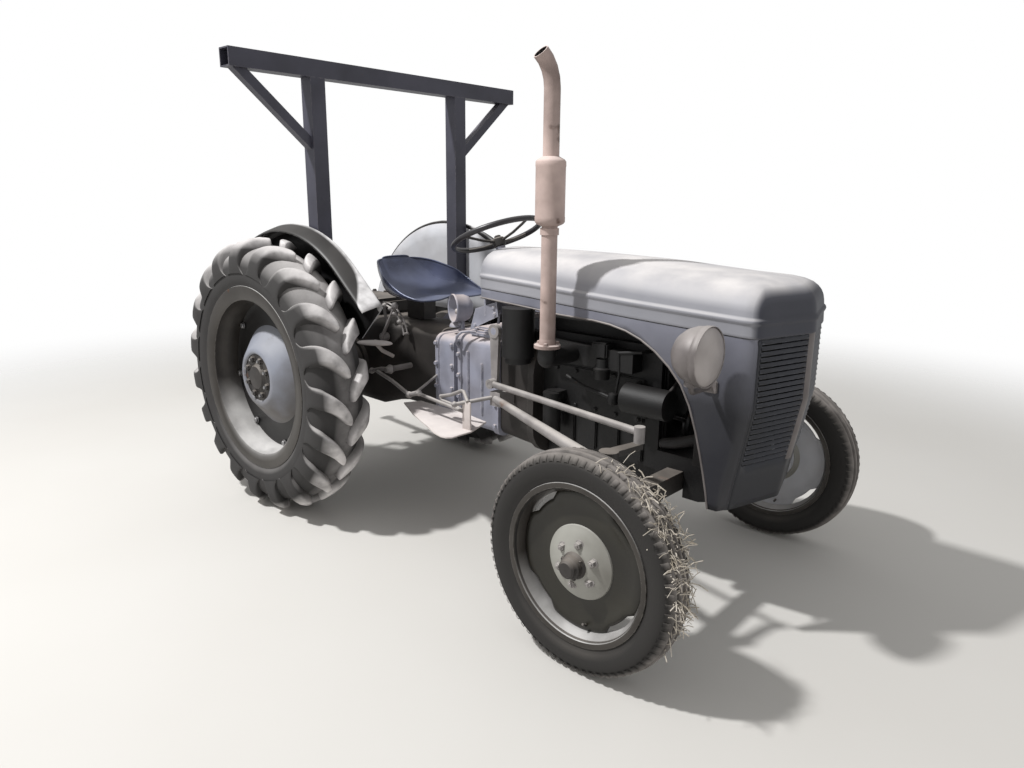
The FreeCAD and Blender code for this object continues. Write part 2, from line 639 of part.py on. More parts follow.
box_top = "gearbox_top + 70"
steering_box = block("BoxBlock", ("drop_pivot_x - 90", "-70", "gearbox_top"), ("150", "140", "70"))
shaft = bar("SectorHousing", ("drop_pivot_x", "-drop_y + 7 + running_gap", "drop_pivot_z"),
            ("drop_pivot_x", "drop_y - 7 - running_gap", "drop_pivot_z"), "25")
stub = bar("SectorShaft", ("drop_pivot_x", "-drop_y - 12", "drop_pivot_z"),
           ("drop_pivot_x", "drop_y + 12", "drop_pivot_z"),
           "sector_radius")
column = bar("Column", on_column("350"), on_column("wheel_dish + 24"), "20")
column_collar = bar("ColumnCollar", on_column("345"), on_column("290"), "30")
settle(fused("SteeringAll", [steering_box, shaft, stub, column, column_collar]), "steering_box")

steering_wheel = new_body("SteeringWheel")
grip = disc_sketch(steering_wheel, "XZ_Plane", "wheel_rim", "0", "wheel_grip")
turn(steering_wheel, grip, "Z_Axis")
hub = disc_sketch(steering_wheel, "XY_Plane", "0", "0", "30", "-wheel_dish - 24 + running_gap")
pad(steering_wheel, hub, "38", middle=False)
spoke_rise = math.degrees(math.atan2(value("wheel_dish"), value("wheel_rim")))
spoke = disc_sketch(steering_wheel, "XZ_Plane", "0", "0", "6")
spoke.AttachmentOffset.Rotation = FreeCAD.Rotation(FreeCAD.Vector(1, 0, 0), -spoke_rise)
bind(spoke, ".AttachmentOffset.Base.y", "-wheel_dish")
arms = pad(steering_wheel, spoke, "sqrt(wheel_rim ^ 2 + wheel_dish ^ 2)", middle=False)
ring = steering_wheel.newObject("PartDesign::PolarPattern", "Spokes")
ring.Originals = [arms]
ring.Axis = (datum(steering_wheel, "Z_Axis"), [""])
ring.Angle = 360
ring.Occurrences = 4
steering_wheel.Tip = ring
steering_wheel.Placement = FreeCAD.Placement(
    FreeCAD.Vector(0, 0, 0), FreeCAD.Rotation(FreeCAD.Vector(0, 1, 0), -value("column_tilt")))
bind(steering_wheel, ".Placement.Base.z", "wheel_hub_z")
steering_wheel.Label = "steering_wheel"
bind(steering_wheel, ".Placement.Base.x", REAR_AXLE + " + wheel_hub_x")
nodes.append(steering_wheel)

# Radius rods from the axle back to the clutch housing.
rod_front = ("wheelbase - 36", "kingpin_spread / 2 - 36", "axle_level + 114")
rod_back = ("engine_back - 150", "bell_width / 2 + 50", "axle_level + 146")
rod = bar("RadiusRod", rod_back, rod_front, "15", "23")
rod_seat = block("RodSeat", ("engine_back - 176", "gearbox_width / 2", "axle_level + 118"),
                 ("52", "(bell_width - gearbox_width) / 2 + 54", "56"))
pair(placed(fused("RodSet", [rod, rod_seat])), "radius_rods")

# Bonnet top: arched sheet from the dash to the nose.
nose = "wheelbase + nose_reach"


def hood_plan(inset):
    """Half outline of the bonnet seen from above, from the rear edge to the nose."""
    half = "hood_width / 2 - %s" % inset
    return half, [
        ("%s - 75" % nose, half), ("%s - 44 - %s" % (nose, inset), "hood_width * 0.41 - %s" % inset),
        ("%s - 16 - %s" % (nose, inset), "hood_width * 0.24"),
        ("%s - %s" % (nose, inset), "hood_width * 0.08")]


def hood_form(name, inset, base):
    """Closed form of the bonnet top, made smaller all round by the inset."""
    body = new_body(name)
    half = "hood_width / 2 - %s" % inset
    stations = (("hood_back - 1", 46, "0"), ("hood_back + 360", 34, "-0.1"), ("hood_back + 1060", 10, "0.36"),
                ("%s + 1" % nose, 4, "1"))
    sections = []
    for x, crease, fall in stations:
        rise = "hood_seam + %d - %s" % (crease, inset)
        crown = "hood_high - hood_fall * (%s) - %s" % (fall, inset)
        sections.append(outline(body, "YZ_Plane", [
            ("-(%s)" % half, base), (half, base), (half, rise),
            ("hood_width * 0.42", "(%s) * 0.42 + (%s) * 0.58" % (rise, crown)),
            ("hood_width * 0.22", "(%s) * 0.08 + (%s) * 0.92" % (rise, crown)), ("0", crown),
            ("-hood_width * 0.22", "(%s) * 0.08 + (%s) * 0.92" % (rise, crown)),
            ("-hood_width * 0.42", "(%s) * 0.42 + (%s) * 0.58" % (rise, crown)), ("-(%s)" % half, rise)], x))
    loft(body, sections)
    half, front = hood_plan(inset)
    corner = [("%s + 40" % nose, "-hood_width"), ("%s + 40" % nose, "hood_width"),
              (front[0][0], "hood_width")]
    edge = front + [(x, "-(%s)" % y) for x, y in reversed(front)]
    pocket(body, outline(body, "XY_Plane", corner + edge + [(front[0][0], "-hood_width")], "hood_seam + 300"),
           "600", middle=False)
    return body


outer_form = hood_form("HoodOuter", "0", "hood_seam")
inner_form = hood_form("HoodInner", "hood_wall", "hood_seam - 20")
settle(cut("HoodTop", outer_form, inner_form), "hood_top")


def nose_form(name, inset, low, high):
    """Closed form of the side panels and grille, wider at the seam and tucked in at the chin."""
    body = new_body(name)
    levels = ((low, "nose_tuck"), ("nose_waist", "2"), (high, "0"))
    sections = []
    for z, tuck in levels:
        half, front = hood_plan(inset)
        right = [("%s - %s" % (x, tuck), y) for x, y in front]
        left = [(x, "-(%s)" % y) for x, y in reversed(right)]
        back = "hood_back + 60 - 2 * %s" % inset
        sections.append(outline(body, "XY_Plane",
                                [(back, half)] + right + left + [(back, "-(%s)" % half)], z))
    loft(body, sections)
    return body


nose_outer = nose_form("NoseOuter", "0", "nose_chin", "hood_seam")
nose_inner = nose_form("NoseInner", "hood_wall", "nose_chin - 1", "hood_seam + 1")
nose_shell = cut("NoseShell", nose_outer, nose_inner)
arch = new_body("Arch")
arch_face = outline(arch, "XZ_Plane", [
    ("hood_back - 100", "992"), ("1325", "1003", 0.12), ("1790", "800", 0.05), ("1962", "430"),
    ("1962", "300"), ("hood_back - 100", "300")])
pad(arch, arch_face, "hood_width + 200")
slots = doc.addObject("Part::Compound", "Louvres")
slots.Links = [
    block("Slot", ("%s - 150" % nose, side, "louvre_base + %d * louvre_pitch" % row),
          ("190", "176", "louvre_height"))
    for row in range(23) for side in ("14", "-190")]
ear_y = "support_width / 2 + 6"
ears = []
for side in (ear_y, "-(%s) - 12" % ear_y):
    ears.append(block("Ear", ("hood_hinge_x - 18", side, "hood_hinge_z - 12"), ("160", "12", "24")))
    ears.append(bar("EarBoss", ("hood_hinge_x", side, "hood_hinge_z"),
                    ("hood_hinge_x", side + " + 12", "hood_hinge_z"), "19"))
within = doc.addObject("Part::MultiCommon", "EarsWithin")
within.Shapes = [fused("Ears", ears), nose_outer]
hinge_bore = bar("HingeBore", ("hood_hinge_x", "-support_width", "hood_hinge_z"),
                 ("hood_hinge_x", "support_width", "hood_hinge_z"), "hinge_pin + running_gap")
open_shell = cut("OpenShell", cut("ArchedShell", nose_shell, arch), slots)
settle(cut("NosePanel", fused("NoseAll", [open_shell, within]), hinge_bore), "nose_panel")

# Headlamp on the right side panel, on its bracket.
lamp = new_body("HeadLamp")
turn(lamp, outline(lamp, "XZ_Plane", [
    ("0", "0"), ("0", "lamp_radius - 10"), ("-12", "lamp_radius"), ("-30", "lamp_radius - 2", -0.12),
    ("-118", "34"), ("-126", "0")]), "X_Axis")
bind(lamp, ".Placement.Base.x", "lamp_x")
bind(lamp, ".Placement.Base.y", "-lamp_y")
bind(lamp, ".Placement.Base.z", "lamp_z")
lamp_post = bar("LampPost", ("lamp_x - 60", "-lamp_y", "lamp_z - lamp_radius - 40"),
                ("lamp_x - 60", "-lamp_y", "lamp_z - 60"), "11")
lamp_bracket = block("LampBracket", ("lamp_x - 80", "-lamp_y - 20", "lamp_z - lamp_radius - 52"),
                     ("40", "lamp_y + 20 - hood_width / 2", "14"))
settle(fused("LampAll", [lamp, lamp_post, lamp_bracket]), "headlamp")

# Radiator and fuel tank under the bonnet.
radiator = block("Radiator", ("wheelbase + 90", "-200", "support_top"), ("90", "400", "480"))
settle(radiator, "radiator")
fuel_tank = block("FuelTank", ("engine_back + 40", "-190", "engine_top + head_height"),
                  ("430", "380", "tank_height"))
settle(fuel_tank, "fuel_tank")

# Exhaust: manifold elbow and upright stack with its muffler.
stack_parts = [
    bar("StackLow", ("stack_x", "-stack_y", "stack_base"), ("stack_x", "-stack_y", "stack_top"),
        "stack_radius"),
    bar("StackFlange", ("stack_x", "-stack_y", "stack_base"), ("stack_x", "-stack_y", "stack_base + 10"),
        "46"),
    bar("Muffler", ("stack_x", "-stack_y", "muffler_low"), ("stack_x", "-stack_y", "muffler_high"),
        "muffler_radius"),
    ball("StackBend", ("stack_x", "-stack_y", "stack_top"), "stack_radius"),
    bar("StackTip", ("stack_x", "-stack_y", "stack_top"),
        ("stack_x - 34", "-stack_y + 12", "stack_top + 62"), "stack_radius")]
settle(fused("StackAll", stack_parts), "exhaust_stack")

bend = ("stack_x", "-stack_y", "stack_base - 38")
manifold = block("Manifold", ("engine_back + 60", "-engine_width / 2 - 60", "stack_base - 75"),
                 ("380", "60", "70"))
elbow = fused("Elbow", [
    bar("ElbowLow", ("stack_x", "-engine_width / 2 - 30", "stack_base - 38"), bend, "33"),
    ball("ElbowBend", bend, "33"),
    bar("ElbowHigh", bend, ("stack_x", "-stack_y", "stack_base"), "33")])
settle(fused("ManifoldAll", [manifold, elbow]), "exhaust_manifold")

# Dash panel, air cleaner, dynamo and work lamp.
dash_sheet = fused("DashAll", [
    block("DashSheet", ("hood_back + 2", "-185", "gearbox_top + 75"), ("8", "370", "200")),
    block("DashStem", ("hood_back + 2", "-60", "gearbox_top"), ("8", "120", "76"))])
settle(cut("Dash", dash_sheet, bar("DashHole", on_column("400"), on_column("wheel_dish + 24"), "35")),
       "dash_panel")

cleaner_x = "engine_back - 50"
cleaner = bar("AirCleaner", (cleaner_x, "-232", "800"), (cleaner_x, "-232", "985"), "62")
cleaner_bowl = bar("CleanerBowl", (cleaner_x, "-232", "776"), (cleaner_x, "-232", "800"), "50")
cleaner_arm = block("CleanerArm", (cleaner_x + " - 10", "-engine_width / 2 - 40", "855"), ("110", "40", "40"))
settle(fused("CleanerAll", [cleaner, cleaner_bowl, cleaner_arm]), "air_cleaner")

filter_can = bar("OilFilter", ("engine_back + 90", "-195", "530"), ("engine_back + 90", "-195", "680"), "34")
filter_head = block("FilterHead", ("engine_back + 60", "-engine_width / 2 - 55", "650"), ("60", "55", "34"))
settle(fused("FilterAll", [filter_can, filter_head]), "oil_filter")

dynamo_y = "-engine_width / 2 - 56"
dynamo_z = "engine_base + 250"
dynamo_can = bar("Dynamo", ("engine_front - 100", dynamo_y, dynamo_z),
                 ("engine_front + 70", dynamo_y, dynamo_z), "52")
dynamo_foot = block("DynamoFoot", ("engine_front - 80", dynamo_y, "engine_base + 190"), ("60", "56", "26"))
settle(fused("DynamoAll", [dynamo_can, dynamo_foot]), "dynamo")

work_can = bar("WorkCan", ("650", "-120", "925"), ("740", "-120", "925"), "68")
work_hollow = bar("WorkHollow", ("640", "-120", "925"), ("728", "-120", "925"), "62")
work_foot = block("WorkFoot", ("710", "-135", "gearbox_top"), ("24", "30", "20"))
settle(cut("WorkLamp", fused("WorkAll", [work_can, work_foot]), work_hollow), "work_lamp")

# Fenders: plate inside the tyre and crown over it.
fender_bow = "%.6f" % (math.tan(math.radians((value("fender_back") - value("fender_front")) / 4)) / 2)


def crown_point(radius, angle):
    return "%s * cos(%s)" % (radius, angle), "rear_radius + %s * sin(%s)" % (radius, angle)


def tail_point(radius):
    x, z = crown_point(radius, "fender_front")
    return "%s + fender_tail * sin(fender_front)" % x, "%s - fender_tail * cos(fender_front)" % z


inner_crown = "(fender_radius - fender_wall)"
fender = new_body("FenderLeft")
plate = outline(fender, "XZ_Plane", [
    crown_point("fender_radius", "fender_back") + (float(fender_bow),),
    crown_point("fender_radius", "fender_front"),
    tail_point("fender_radius"), ("434", "rear_radius + 201"), ("260", "rear_radius + 195"),
    ("-260", "rear_radius + 195"), ("-fender_radius * 0.86", "rear_radius + 195")], "-fender_inner")
pad(fender, plate, "fender_wall", middle=False, back=True)
crown = outline(fender, "XZ_Plane", [
    crown_point("fender_radius", "fender_back") + (float(fender_bow),),
    crown_point("fender_radius", "fender_front"),
    tail_point("fender_radius"), tail_point(inner_crown),
    crown_point(inner_crown, "fender_front") + (-float(fender_bow),),
    crown_point(inner_crown, "fender_back")],
    "-fender_inner")
pad(fender, crown, "fender_width", middle=False, back=True)
stay = outline(fender, "XZ_Plane", [
    ("bar_x - tube_side / 2", "rear_radius + 280"), ("bar_x + tube_side / 2", "rear_radius + 280"),
    ("bar_x + tube_side / 2", "rear_radius + 400"), ("bar_x - tube_side / 2", "rear_radius + 400")],
    "-fender_inner")
pad(fender, stay, "post_gap", middle=False)
pair(placed(fender), "fenders")

# Seat pan and its spring.
seat = new_body("SeatPan")
SEAT_STATIONS = (  # share of the length, half width, rim and bottom as shares of the rise
    ("0", "0.32", "1", "0.8"), ("0.11", "0.436", "0.95", "0.38"), ("0.38", "0.5", "0.76", "0"),
    ("0.72", "0.494", "0.37", "0"), ("1", "0.457", "0.1", "0.03"))
seat_sections = []
for share, half, rim, low in SEAT_STATIONS:
    edge = "seat_width * %s" % half
    rim_z = "seat_z + seat_rise * %s + 6" % rim
    low_z = "seat_z + seat_rise * %s" % low
    right = [(edge, rim_z), (edge + " * 0.86", "(%s) * 0.5 + (%s) * 0.5" % (rim_z, low_z)),
             (edge + " * 0.5", low_z)]
    left = [("-(%s)" % y, z) for y, z in reversed(right)]
    upper = [("-%s + 6" % edge, rim_z), ("-(%s * 0.86 - 5)" % edge, right[1][1] + " + 4"),
             ("-%s * 0.5" % edge, low_z + " + 6")]
    lower = [("%s * 0.5" % edge, low_z + " + 6"), ("%s * 0.86 - 5" % edge, right[1][1] + " + 4"),
             ("%s - 6" % edge, rim_z)]
    seat_sections.append(outline(seat, "YZ_Plane", right + left + upper + lower,
                                 "seat_back + seat_length * %s" % share))
loft(seat, seat_sections)
settle(seat, "seat_pan")
seat_middle = "(seat_back + seat_length / 2)"
seat_spring = block("SeatSpring", (seat_middle + " - 60", "-35", "housing_top"),
                    ("120", "70", "seat_z - housing_top"))
settle(seat_spring, "seat_spring")

# Roll bar of square tube: posts on the axle trumpets, cross tube and two braces.
post_foot = "rear_radius + drum_radius + 8"
post_low_edge = "fender_inner - post_gap - tube_side"
post_tube = cut("PostTube", block("PostOuter", ("bar_x - tube_side / 2", post_low_edge, post_foot),
                                  ("tube_side", "tube_side", "beam_top - tube_side - (%s)" % post_foot)),
                block("PostInner", ("bar_x - tube_side / 2 + tube_wall", post_low_edge + " + tube_wall",
                                    post_foot + " + 10"),
                      ("tube_side - 2 * tube_wall", "tube_side - 2 * tube_wall", "beam_top")))
gusset = new_body("Gusset")
gusset_face = outline(gusset, "XZ_Plane", [
    ("bar_x - tube_side / 2", post_foot), ("bar_x + tube_side / 2", post_foot),
    ("bar_x + tube_side / 2", "rear_radius + 130"),
    ("90", "rear_radius + 4"), ("-80", "rear_radius + 4"), ("-80", "rear_radius + 50")],
    "-(%s)" % post_low_edge)
pad(gusset, gusset_face, "drum_inner - 26 - (%s)" % post_low_edge, middle=False, back=True)
post_leg = cut("PostLeg", gusset, bar("LegSeat", ("0", "300", "rear_radius"), ("0", "500", "rear_radius"),
                                      "67.6"))
pair(placed(fused("Post", [post_tube, post_leg])), "roll_posts")
beam_tube = block("BeamOuter", ("bar_x - tube_side / 2", "-beam_length / 2", "beam_top - tube_side"),
                  ("tube_side", "beam_length", "tube_side"))
beam_hollow = block("BeamHollow", ("bar_x - tube_side / 2 + tube_wall", "-beam_length / 2 - 1",
                                   "beam_top - tube_side + tube_wall"),
                    ("tube_side - 2 * tube_wall", "beam_length + 2", "tube_side - 2 * tube_wall"))
settle(cut("RollBeam", beam_tube, beam_hollow), "roll_beam")
brace = new_body("Brace")
post_side = "fender_inner - post_gap"
brace_face = outline(brace, "YZ_Plane", [
    (post_side, "beam_top - tube_side - brace_drop"), ("beam_length / 2 - 20", "beam_top - tube_side"),
    ("beam_length / 2 - 80", "beam_top - tube_side"),
    (post_side, "beam_top - tube_side - brace_drop + 52")], "bar_x")
pad(brace, brace_face, "40")
pair(placed(brace), "roll_braces")

# Step plates and pedals beside the gearbox.
step = new_body("Step")
step_face = outline(step, "XY_Plane", [
    ("560", "gearbox_width / 2"), ("960", "gearbox_width / 2"), ("960", "360"), ("900", "430", 0.08),
    ("600", "400"),
    ("560", "340")], "gearbox_base + 60")
pad(step, step_face, "8", middle=False)
pair(placed(step), "step_plates")
pedal = fused("PedalAll", [
    bar("PedalPivot", ("900", "gearbox_width / 2", "580"), ("900", "gearbox_width / 2 + 60", "580"), "16"),
    bar("PedalRod", ("900", "gearbox_width / 2 + 46", "580"), ("690", "360", "640"), "10"),
    block("PedalPad", ("640", "310", "630"), ("60", "100", "16"))])
pair(placed(pedal), "pedals")

# Hydraulic lift cover, lift arms on their cross shaft, lift rods and lower links.
lift_y = "housing_width / 2 + 14"
cover_block = block("CoverBlock", ("-housing_back + 20", "-120", "housing_top"),
                    ("housing_back + 100", "240", "cover_top - housing_top"))
shaft_hole = bar("ShaftHole", ("lift_pivot_x", "-200", "lift_pivot_z"),
                 ("lift_pivot_x", "200", "lift_pivot_z"),
                 "20 + running_gap")
rear_housing_all = cut("HousingAll", fused("HousingSolid", [rear_housing, cover_block]), shaft_hole)
settle(rear_housing_all, "rear_housing")

arm_end = ("lift_pivot_x - lift_back", "lift_pivot_z - lift_down")
lift_shaft = bar("LiftShaft", ("lift_pivot_x", "-(%s)" % lift_y, "lift_pivot_z"),
                 ("lift_pivot_x", lift_y, "lift_pivot_z"), "20")
lift_parts = [lift_shaft]
for side in ("", "-"):
    arm = new_body("LiftArm")
    face = outline(arm, "XZ_Plane", [
        ("lift_pivot_x + 30", "lift_pivot_z - 10"), ("lift_pivot_x + 10", "lift_pivot_z + 32"),
        (arm_end[0], arm_end[1] + " + 18"), (arm_end[0] + " - 18", arm_end[1]),
        (arm_end[0], arm_end[1] + " - 18"),
        ("lift_pivot_x", "lift_pivot_z - 34")],
        "%s-(%s)" % ("-" if side else "", lift_y) if not side else lift_y)
    pad(arm, face, "20")
    lift_parts.append(arm)
lift_arms = fused("LiftAll", lift_parts)
settle(lift_arms, "lift_arms")

rod_y = "housing_width / 2 + 36"
foot_y = "lower_spread / 2 + 2"
lift_rod = fused("LiftRodAll", [
    bar("RodHead", (arm_end[0], "%s + 10 + running_gap" % lift_y, arm_end[1]),
        (arm_end[0], "%s + 34" % lift_y, arm_end[1]), "20"),
    bar("RodBar", (arm_end[0], rod_y, arm_end[1]),
        ("lower_pivot_x - lift_foot", foot_y + " - 10", "lower_pivot_z"), "12"),
    bar("RodFoot", ("lower_pivot_x - lift_foot", foot_y + " - 24", "lower_pivot_z"),
        ("lower_pivot_x - lift_foot", foot_y + " + 5", "lower_pivot_z"), "23")])
pair(placed(lift_rod), "lift_rods")

eye_front = fused("LowerSolid", [
    bar("LowerEye", ("lower_pivot_x", bracket_y + " + 14 + running_gap", "lower_pivot_z"),
        ("lower_pivot_x", bracket_y + " + 56", "lower_pivot_z"), "28"),
    bar("LowerBar", ("lower_pivot_x", "lower_spread / 2", "lower_pivot_z"),
        ("-hitch_reach + 30", "lower_spread / 2 + 60", "lower_rear_z"), "20"),
    bar("LowerEnd", ("-hitch_reach + 30", "lower_spread / 2 + 38", "lower_rear_z"),
        ("-hitch_reach + 30", "lower_spread / 2 + 82", "lower_rear_z"), "30")])
eye_holes = fused("LowerHoles", [
    bar("FrontHole", ("lower_pivot_x", "lower_spread / 2 - 60", "lower_pivot_z"),
        ("lower_pivot_x", "lower_spread / 2 + 60", "lower_pivot_z"), "14 + running_gap"),
    bar("RearHole", ("-hitch_reach + 30", "lower_spread / 2", "lower_rear_z"),
        ("-hitch_reach + 30", "lower_spread / 2 + 120", "lower_rear_z"), "ball_bore")])
pair(placed(cut("LowerLink", eye_front, eye_holes)), "lower_links")

# Power take-off shaft and top link bracket on the rear face.
pto = fused("PtoAll", [
    bar("PtoCollar", ("-housing_back", "0", "pto_level"), ("-housing_back - 20", "0", "pto_level"), "46"),
    bar("PtoShaft", ("-housing_back", "0", "pto_level"), ("-housing_back - 100", "0", "pto_level"),
        "pto_radius")])
bracket = fused("TopAll", [
    block("TopBase", ("-housing_back - 16", "-40", "top_level - 45"), ("16", "80", "90")),
    block("TopEarLeft", ("-housing_back - 80", "22", "top_level - 28"), ("66", "16", "56")),
    block("TopEarRight", ("-housing_back - 80", "-38", "top_level - 28"), ("66", "16", "56"))])
top_hole = bar("TopHole", ("-housing_back - 54", "-60", "top_level"),
               ("-housing_back - 54", "60", "top_level"), "top_bore")
fittings = doc.addObject("Part::Compound", "Fittings")
fittings.Links = [pto, cut("TopBracket", bracket, top_hole)]
settle(fittings, "hitch_fittings")

doc.recompute()
faults = [item.Name for item in doc.Objects if "Invalid" in item.State or "Error" in item.State]
for node in nodes:
    if node.Shape.isNull() or not node.Shape.isValid() or not node.Shape.Solids:
        faults.append(node.Label)
if faults:
    raise RuntimeError("these pieces failed: " + ", ".join(faults))
os.makedirs("parts", exist_ok=True)
for node in nodes:
    node.Shape.exportStep("parts/%s.step" % node.Label)
    print(node.Label, len(node.Shape.Solids), round(node.Shape.Volume / 1000))
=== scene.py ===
# %% [markdown]
# # A small farm tractor, dressed
# The solids of this tractor come as a fixed frame: wheels, castings, bonnet, roll bar, each at its
# real place. This lesson gives them the looks of an old machine that has gathered dust for years.
# Every piece below is built in metres in the frame's own space, so nothing has to be fitted
# afterwards. We start by loading the frame.

# %% Load the frame
import json
import math
import random

import bmesh
import bpy
from mathutils import Matrix, Vector


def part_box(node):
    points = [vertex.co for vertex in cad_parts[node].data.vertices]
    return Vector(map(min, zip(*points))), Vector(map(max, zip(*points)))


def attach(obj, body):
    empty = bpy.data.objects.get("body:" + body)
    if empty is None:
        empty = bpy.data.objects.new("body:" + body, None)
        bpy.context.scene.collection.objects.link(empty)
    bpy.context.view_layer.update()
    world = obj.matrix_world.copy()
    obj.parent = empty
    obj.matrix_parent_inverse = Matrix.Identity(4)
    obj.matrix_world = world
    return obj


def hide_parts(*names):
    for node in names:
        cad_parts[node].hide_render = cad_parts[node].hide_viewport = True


def axle_of(node):
    """How far forward the middle of a wheel stands."""
    low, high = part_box(node)
    return (low[0] + high[0]) / 2


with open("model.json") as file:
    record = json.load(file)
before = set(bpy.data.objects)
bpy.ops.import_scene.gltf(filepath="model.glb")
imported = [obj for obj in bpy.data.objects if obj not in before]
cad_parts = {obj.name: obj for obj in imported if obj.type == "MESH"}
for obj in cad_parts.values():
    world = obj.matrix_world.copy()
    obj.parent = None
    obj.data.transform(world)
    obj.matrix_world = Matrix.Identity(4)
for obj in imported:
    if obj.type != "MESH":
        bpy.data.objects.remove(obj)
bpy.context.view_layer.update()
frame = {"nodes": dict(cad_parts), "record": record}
REAR = axle_of("rear_wheel_left")
FRONT = axle_of("front_wheel_left")
REAR_RADIUS = 0.605
FRONT_RADIUS = 0.342
print("rear axle at", round(REAR, 4), "front axle at", round(FRONT, 4))

# %% [markdown]
# ## Camera
# The view of a picture is given by where the camera stands, where it looks and its focal length.
# The three directions of the camera come from two angles and a small roll, and they are written
# into its matrix as columns: right, up and backwards.

# %% Camera
EYE = (2.3086, -2.2917, 1.3819)
HEADING = 132.503
TILT = -13.9824
ROLL = 0.5014
LENS = 26.349


def look_axes(heading, tilt, roll):
    """Right, up and forward directions of a camera from angles in degrees."""
    heading, tilt, roll = map(math.radians, (heading, tilt, roll))
    level_part = math.cos(tilt)
    ahead = Vector((level_part * math.cos(heading), level_part * math.sin(heading), math.sin(tilt)))
    level = ahead.cross(Vector((0, 0, 1))).normalized()
    above = level.cross(ahead)
    right = level * math.cos(roll) + above * math.sin(roll)
    return right, above * math.cos(roll) - level * math.sin(roll), ahead


def placed(name, data):
    """An object for a camera, a light or a mesh, put into the scene."""
    made = bpy.data.objects.new(name, data)
    bpy.context.scene.collection.objects.link(made)
    return made


camera = placed("Camera", bpy.data.cameras.new("Camera"))
right, above, ahead = look_axes(HEADING, TILT, ROLL)
turned = Matrix((right, above, -ahead)).transposed().to_4x4()
camera.matrix_world = Matrix.Translation(EYE) @ turned
camera.data.sensor_width = 36
camera.data.lens = LENS
bpy.context.scene.camera = camera
print("camera", [round(value, 3) for value in camera.location])

# %% [markdown]
# ## Light
# The tractor stands in a hard light from high behind its right side, so the bonnet's top and the
# tops of the lugs are bright while the front and the engine lie in shade. A small round panel
# gives that light, a weak one opens the shade in front, and an even sky fills the rest. The sky
# shows as plain white to the camera and through glass, and lights everything else more weakly.

# %% Light
SKY_STRENGTH = 0.575


def tone(red, green, blue):
    """A screen colour of 0 to 255 as the linear colour that shaders use."""
    parts = []
    for part in (red, green, blue):
        share = part / 255
        parts.append(share / 12.92 if share <= 0.04045 else ((share + 0.055) / 1.055) ** 2.4)
    return (*parts, 1.0)


def panel_light(name, place, target, size, power):
    """A round lamp that looks at a target."""
    lamp = bpy.data.lights.new(name, "AREA")
    lamp.shape = "DISK"
    lamp.size = size
    lamp.energy = power
    light = placed(name, lamp)
    light.location = place
    light.rotation_euler = (Vector(target) - Vector(place)).to_track_quat("-Z", "Y").to_euler()


panel_light("DoorLight", (-1.7, -3.6, 6.4), (0.2, 0, 0.6), 0.4, 575)
panel_light("FillLight", (4.2, -3.6, 2.2), (0.3, 0, 0.6), 3.0, 4)

world = bpy.data.worlds.new("Sky")
bpy.context.scene.world = world
world.use_nodes = True
sky = world.node_tree.nodes["Background"]
sky.inputs["Color"].default_value = (1, 1, 1, 1)
rays = world.node_tree.nodes.new("ShaderNodeLightPath")
seen = world.node_tree.nodes.new("ShaderNodeMath")
seen.operation = "MAXIMUM"
world.node_tree.links.new(rays.outputs["Is Camera Ray"], seen.inputs[0])
world.node_tree.links.new(rays.outputs["Is Transmission Ray"], seen.inputs[1])
strength = world.node_tree.nodes.new("ShaderNodeMapRange")
strength.inputs["To Min"].default_value = SKY_STRENGTH
strength.inputs["To Max"].default_value = 1.0
world.node_tree.links.new(seen.outputs[0], strength.inputs["Value"])
world.node_tree.links.new(strength.outputs[0], sky.inputs["Strength"])
bpy.context.scene.view_settings.view_transform = "Standard"
print("lights:", len(bpy.data.lights))

# %% [markdown]
# ## Node helpers
# A material is a graph of nodes, and most lines that build one say the same three things: make a
# node, set its fields, fill its sockets. One helper does this for a number, a colour or a link
# alike, and a few more stand for the steps that come back in every effect.

# %% Node helpers
def add_node(tree, kind, sockets=None, **fields):
    """A node with its fields set and its sockets given as numbers, colours or other sockets."""
    made = tree.nodes.new(kind)
    for field, setting in fields.items():
        setattr(made, field, setting)
    for key, source in (sockets or {}).items():
        if isinstance(source, bpy.types.NodeSocket):
            tree.links.new(source, made.inputs[key])
        else:
            made.inputs[key].default_value = source
    return made


def use_group(tree, group, sockets):
    """The outputs of an effect placed in a material."""
    return add_node(tree, "ShaderNodeGroup", sockets, node_tree=group).outputs


def blend(tree, share, first, second):
    """The first colour turned into the second by a share."""
    return add_node(tree, "ShaderNodeMix", {0: share, 6: first, 7: second}, data_type="RGBA").outputs[2]


def remap(tree, source, low, high, to_low=0.0, to_high=1.0):
    """A value carried from one range to another."""
    return add_node(tree, "ShaderNodeMapRange", {
        "Value": source, "From Min": low, "From Max": high, "To Min": to_low, "To Max": to_high}).outputs[0]


def product(tree, first, second, operation="MULTIPLY"):
    """Two numbers multiplied, or joined by another operation."""
    return add_node(tree, "ShaderNodeMath", {0: first, 1: second}, operation=operation).outputs[0]


def vector_math(tree, operation, first, second=(0, 0, 0)):
    """The outputs of an operation on one or two vectors."""
    return add_node(tree, "ShaderNodeVectorMath", {0: first, 1: second}, operation=operation).outputs


def own_space(tree, output="Object"):
    """A place or a normal in the object's own space."""
    return add_node(tree, "ShaderNodeTexCoord").outputs[output]


def part_of(tree, source, letter):
    """One of the three parts of a place or a normal."""
    return add_node(tree, "ShaderNodeSeparateXYZ", {0: source}).outputs[letter]


def speckle(tree, scale, detail):
    """Noise fixed to the object's own space."""
    sockets = {"Vector": own_space(tree), "Scale": scale, "Detail": detail}
    return add_node(tree, "ShaderNodeTexNoise", sockets).outputs["Fac"]


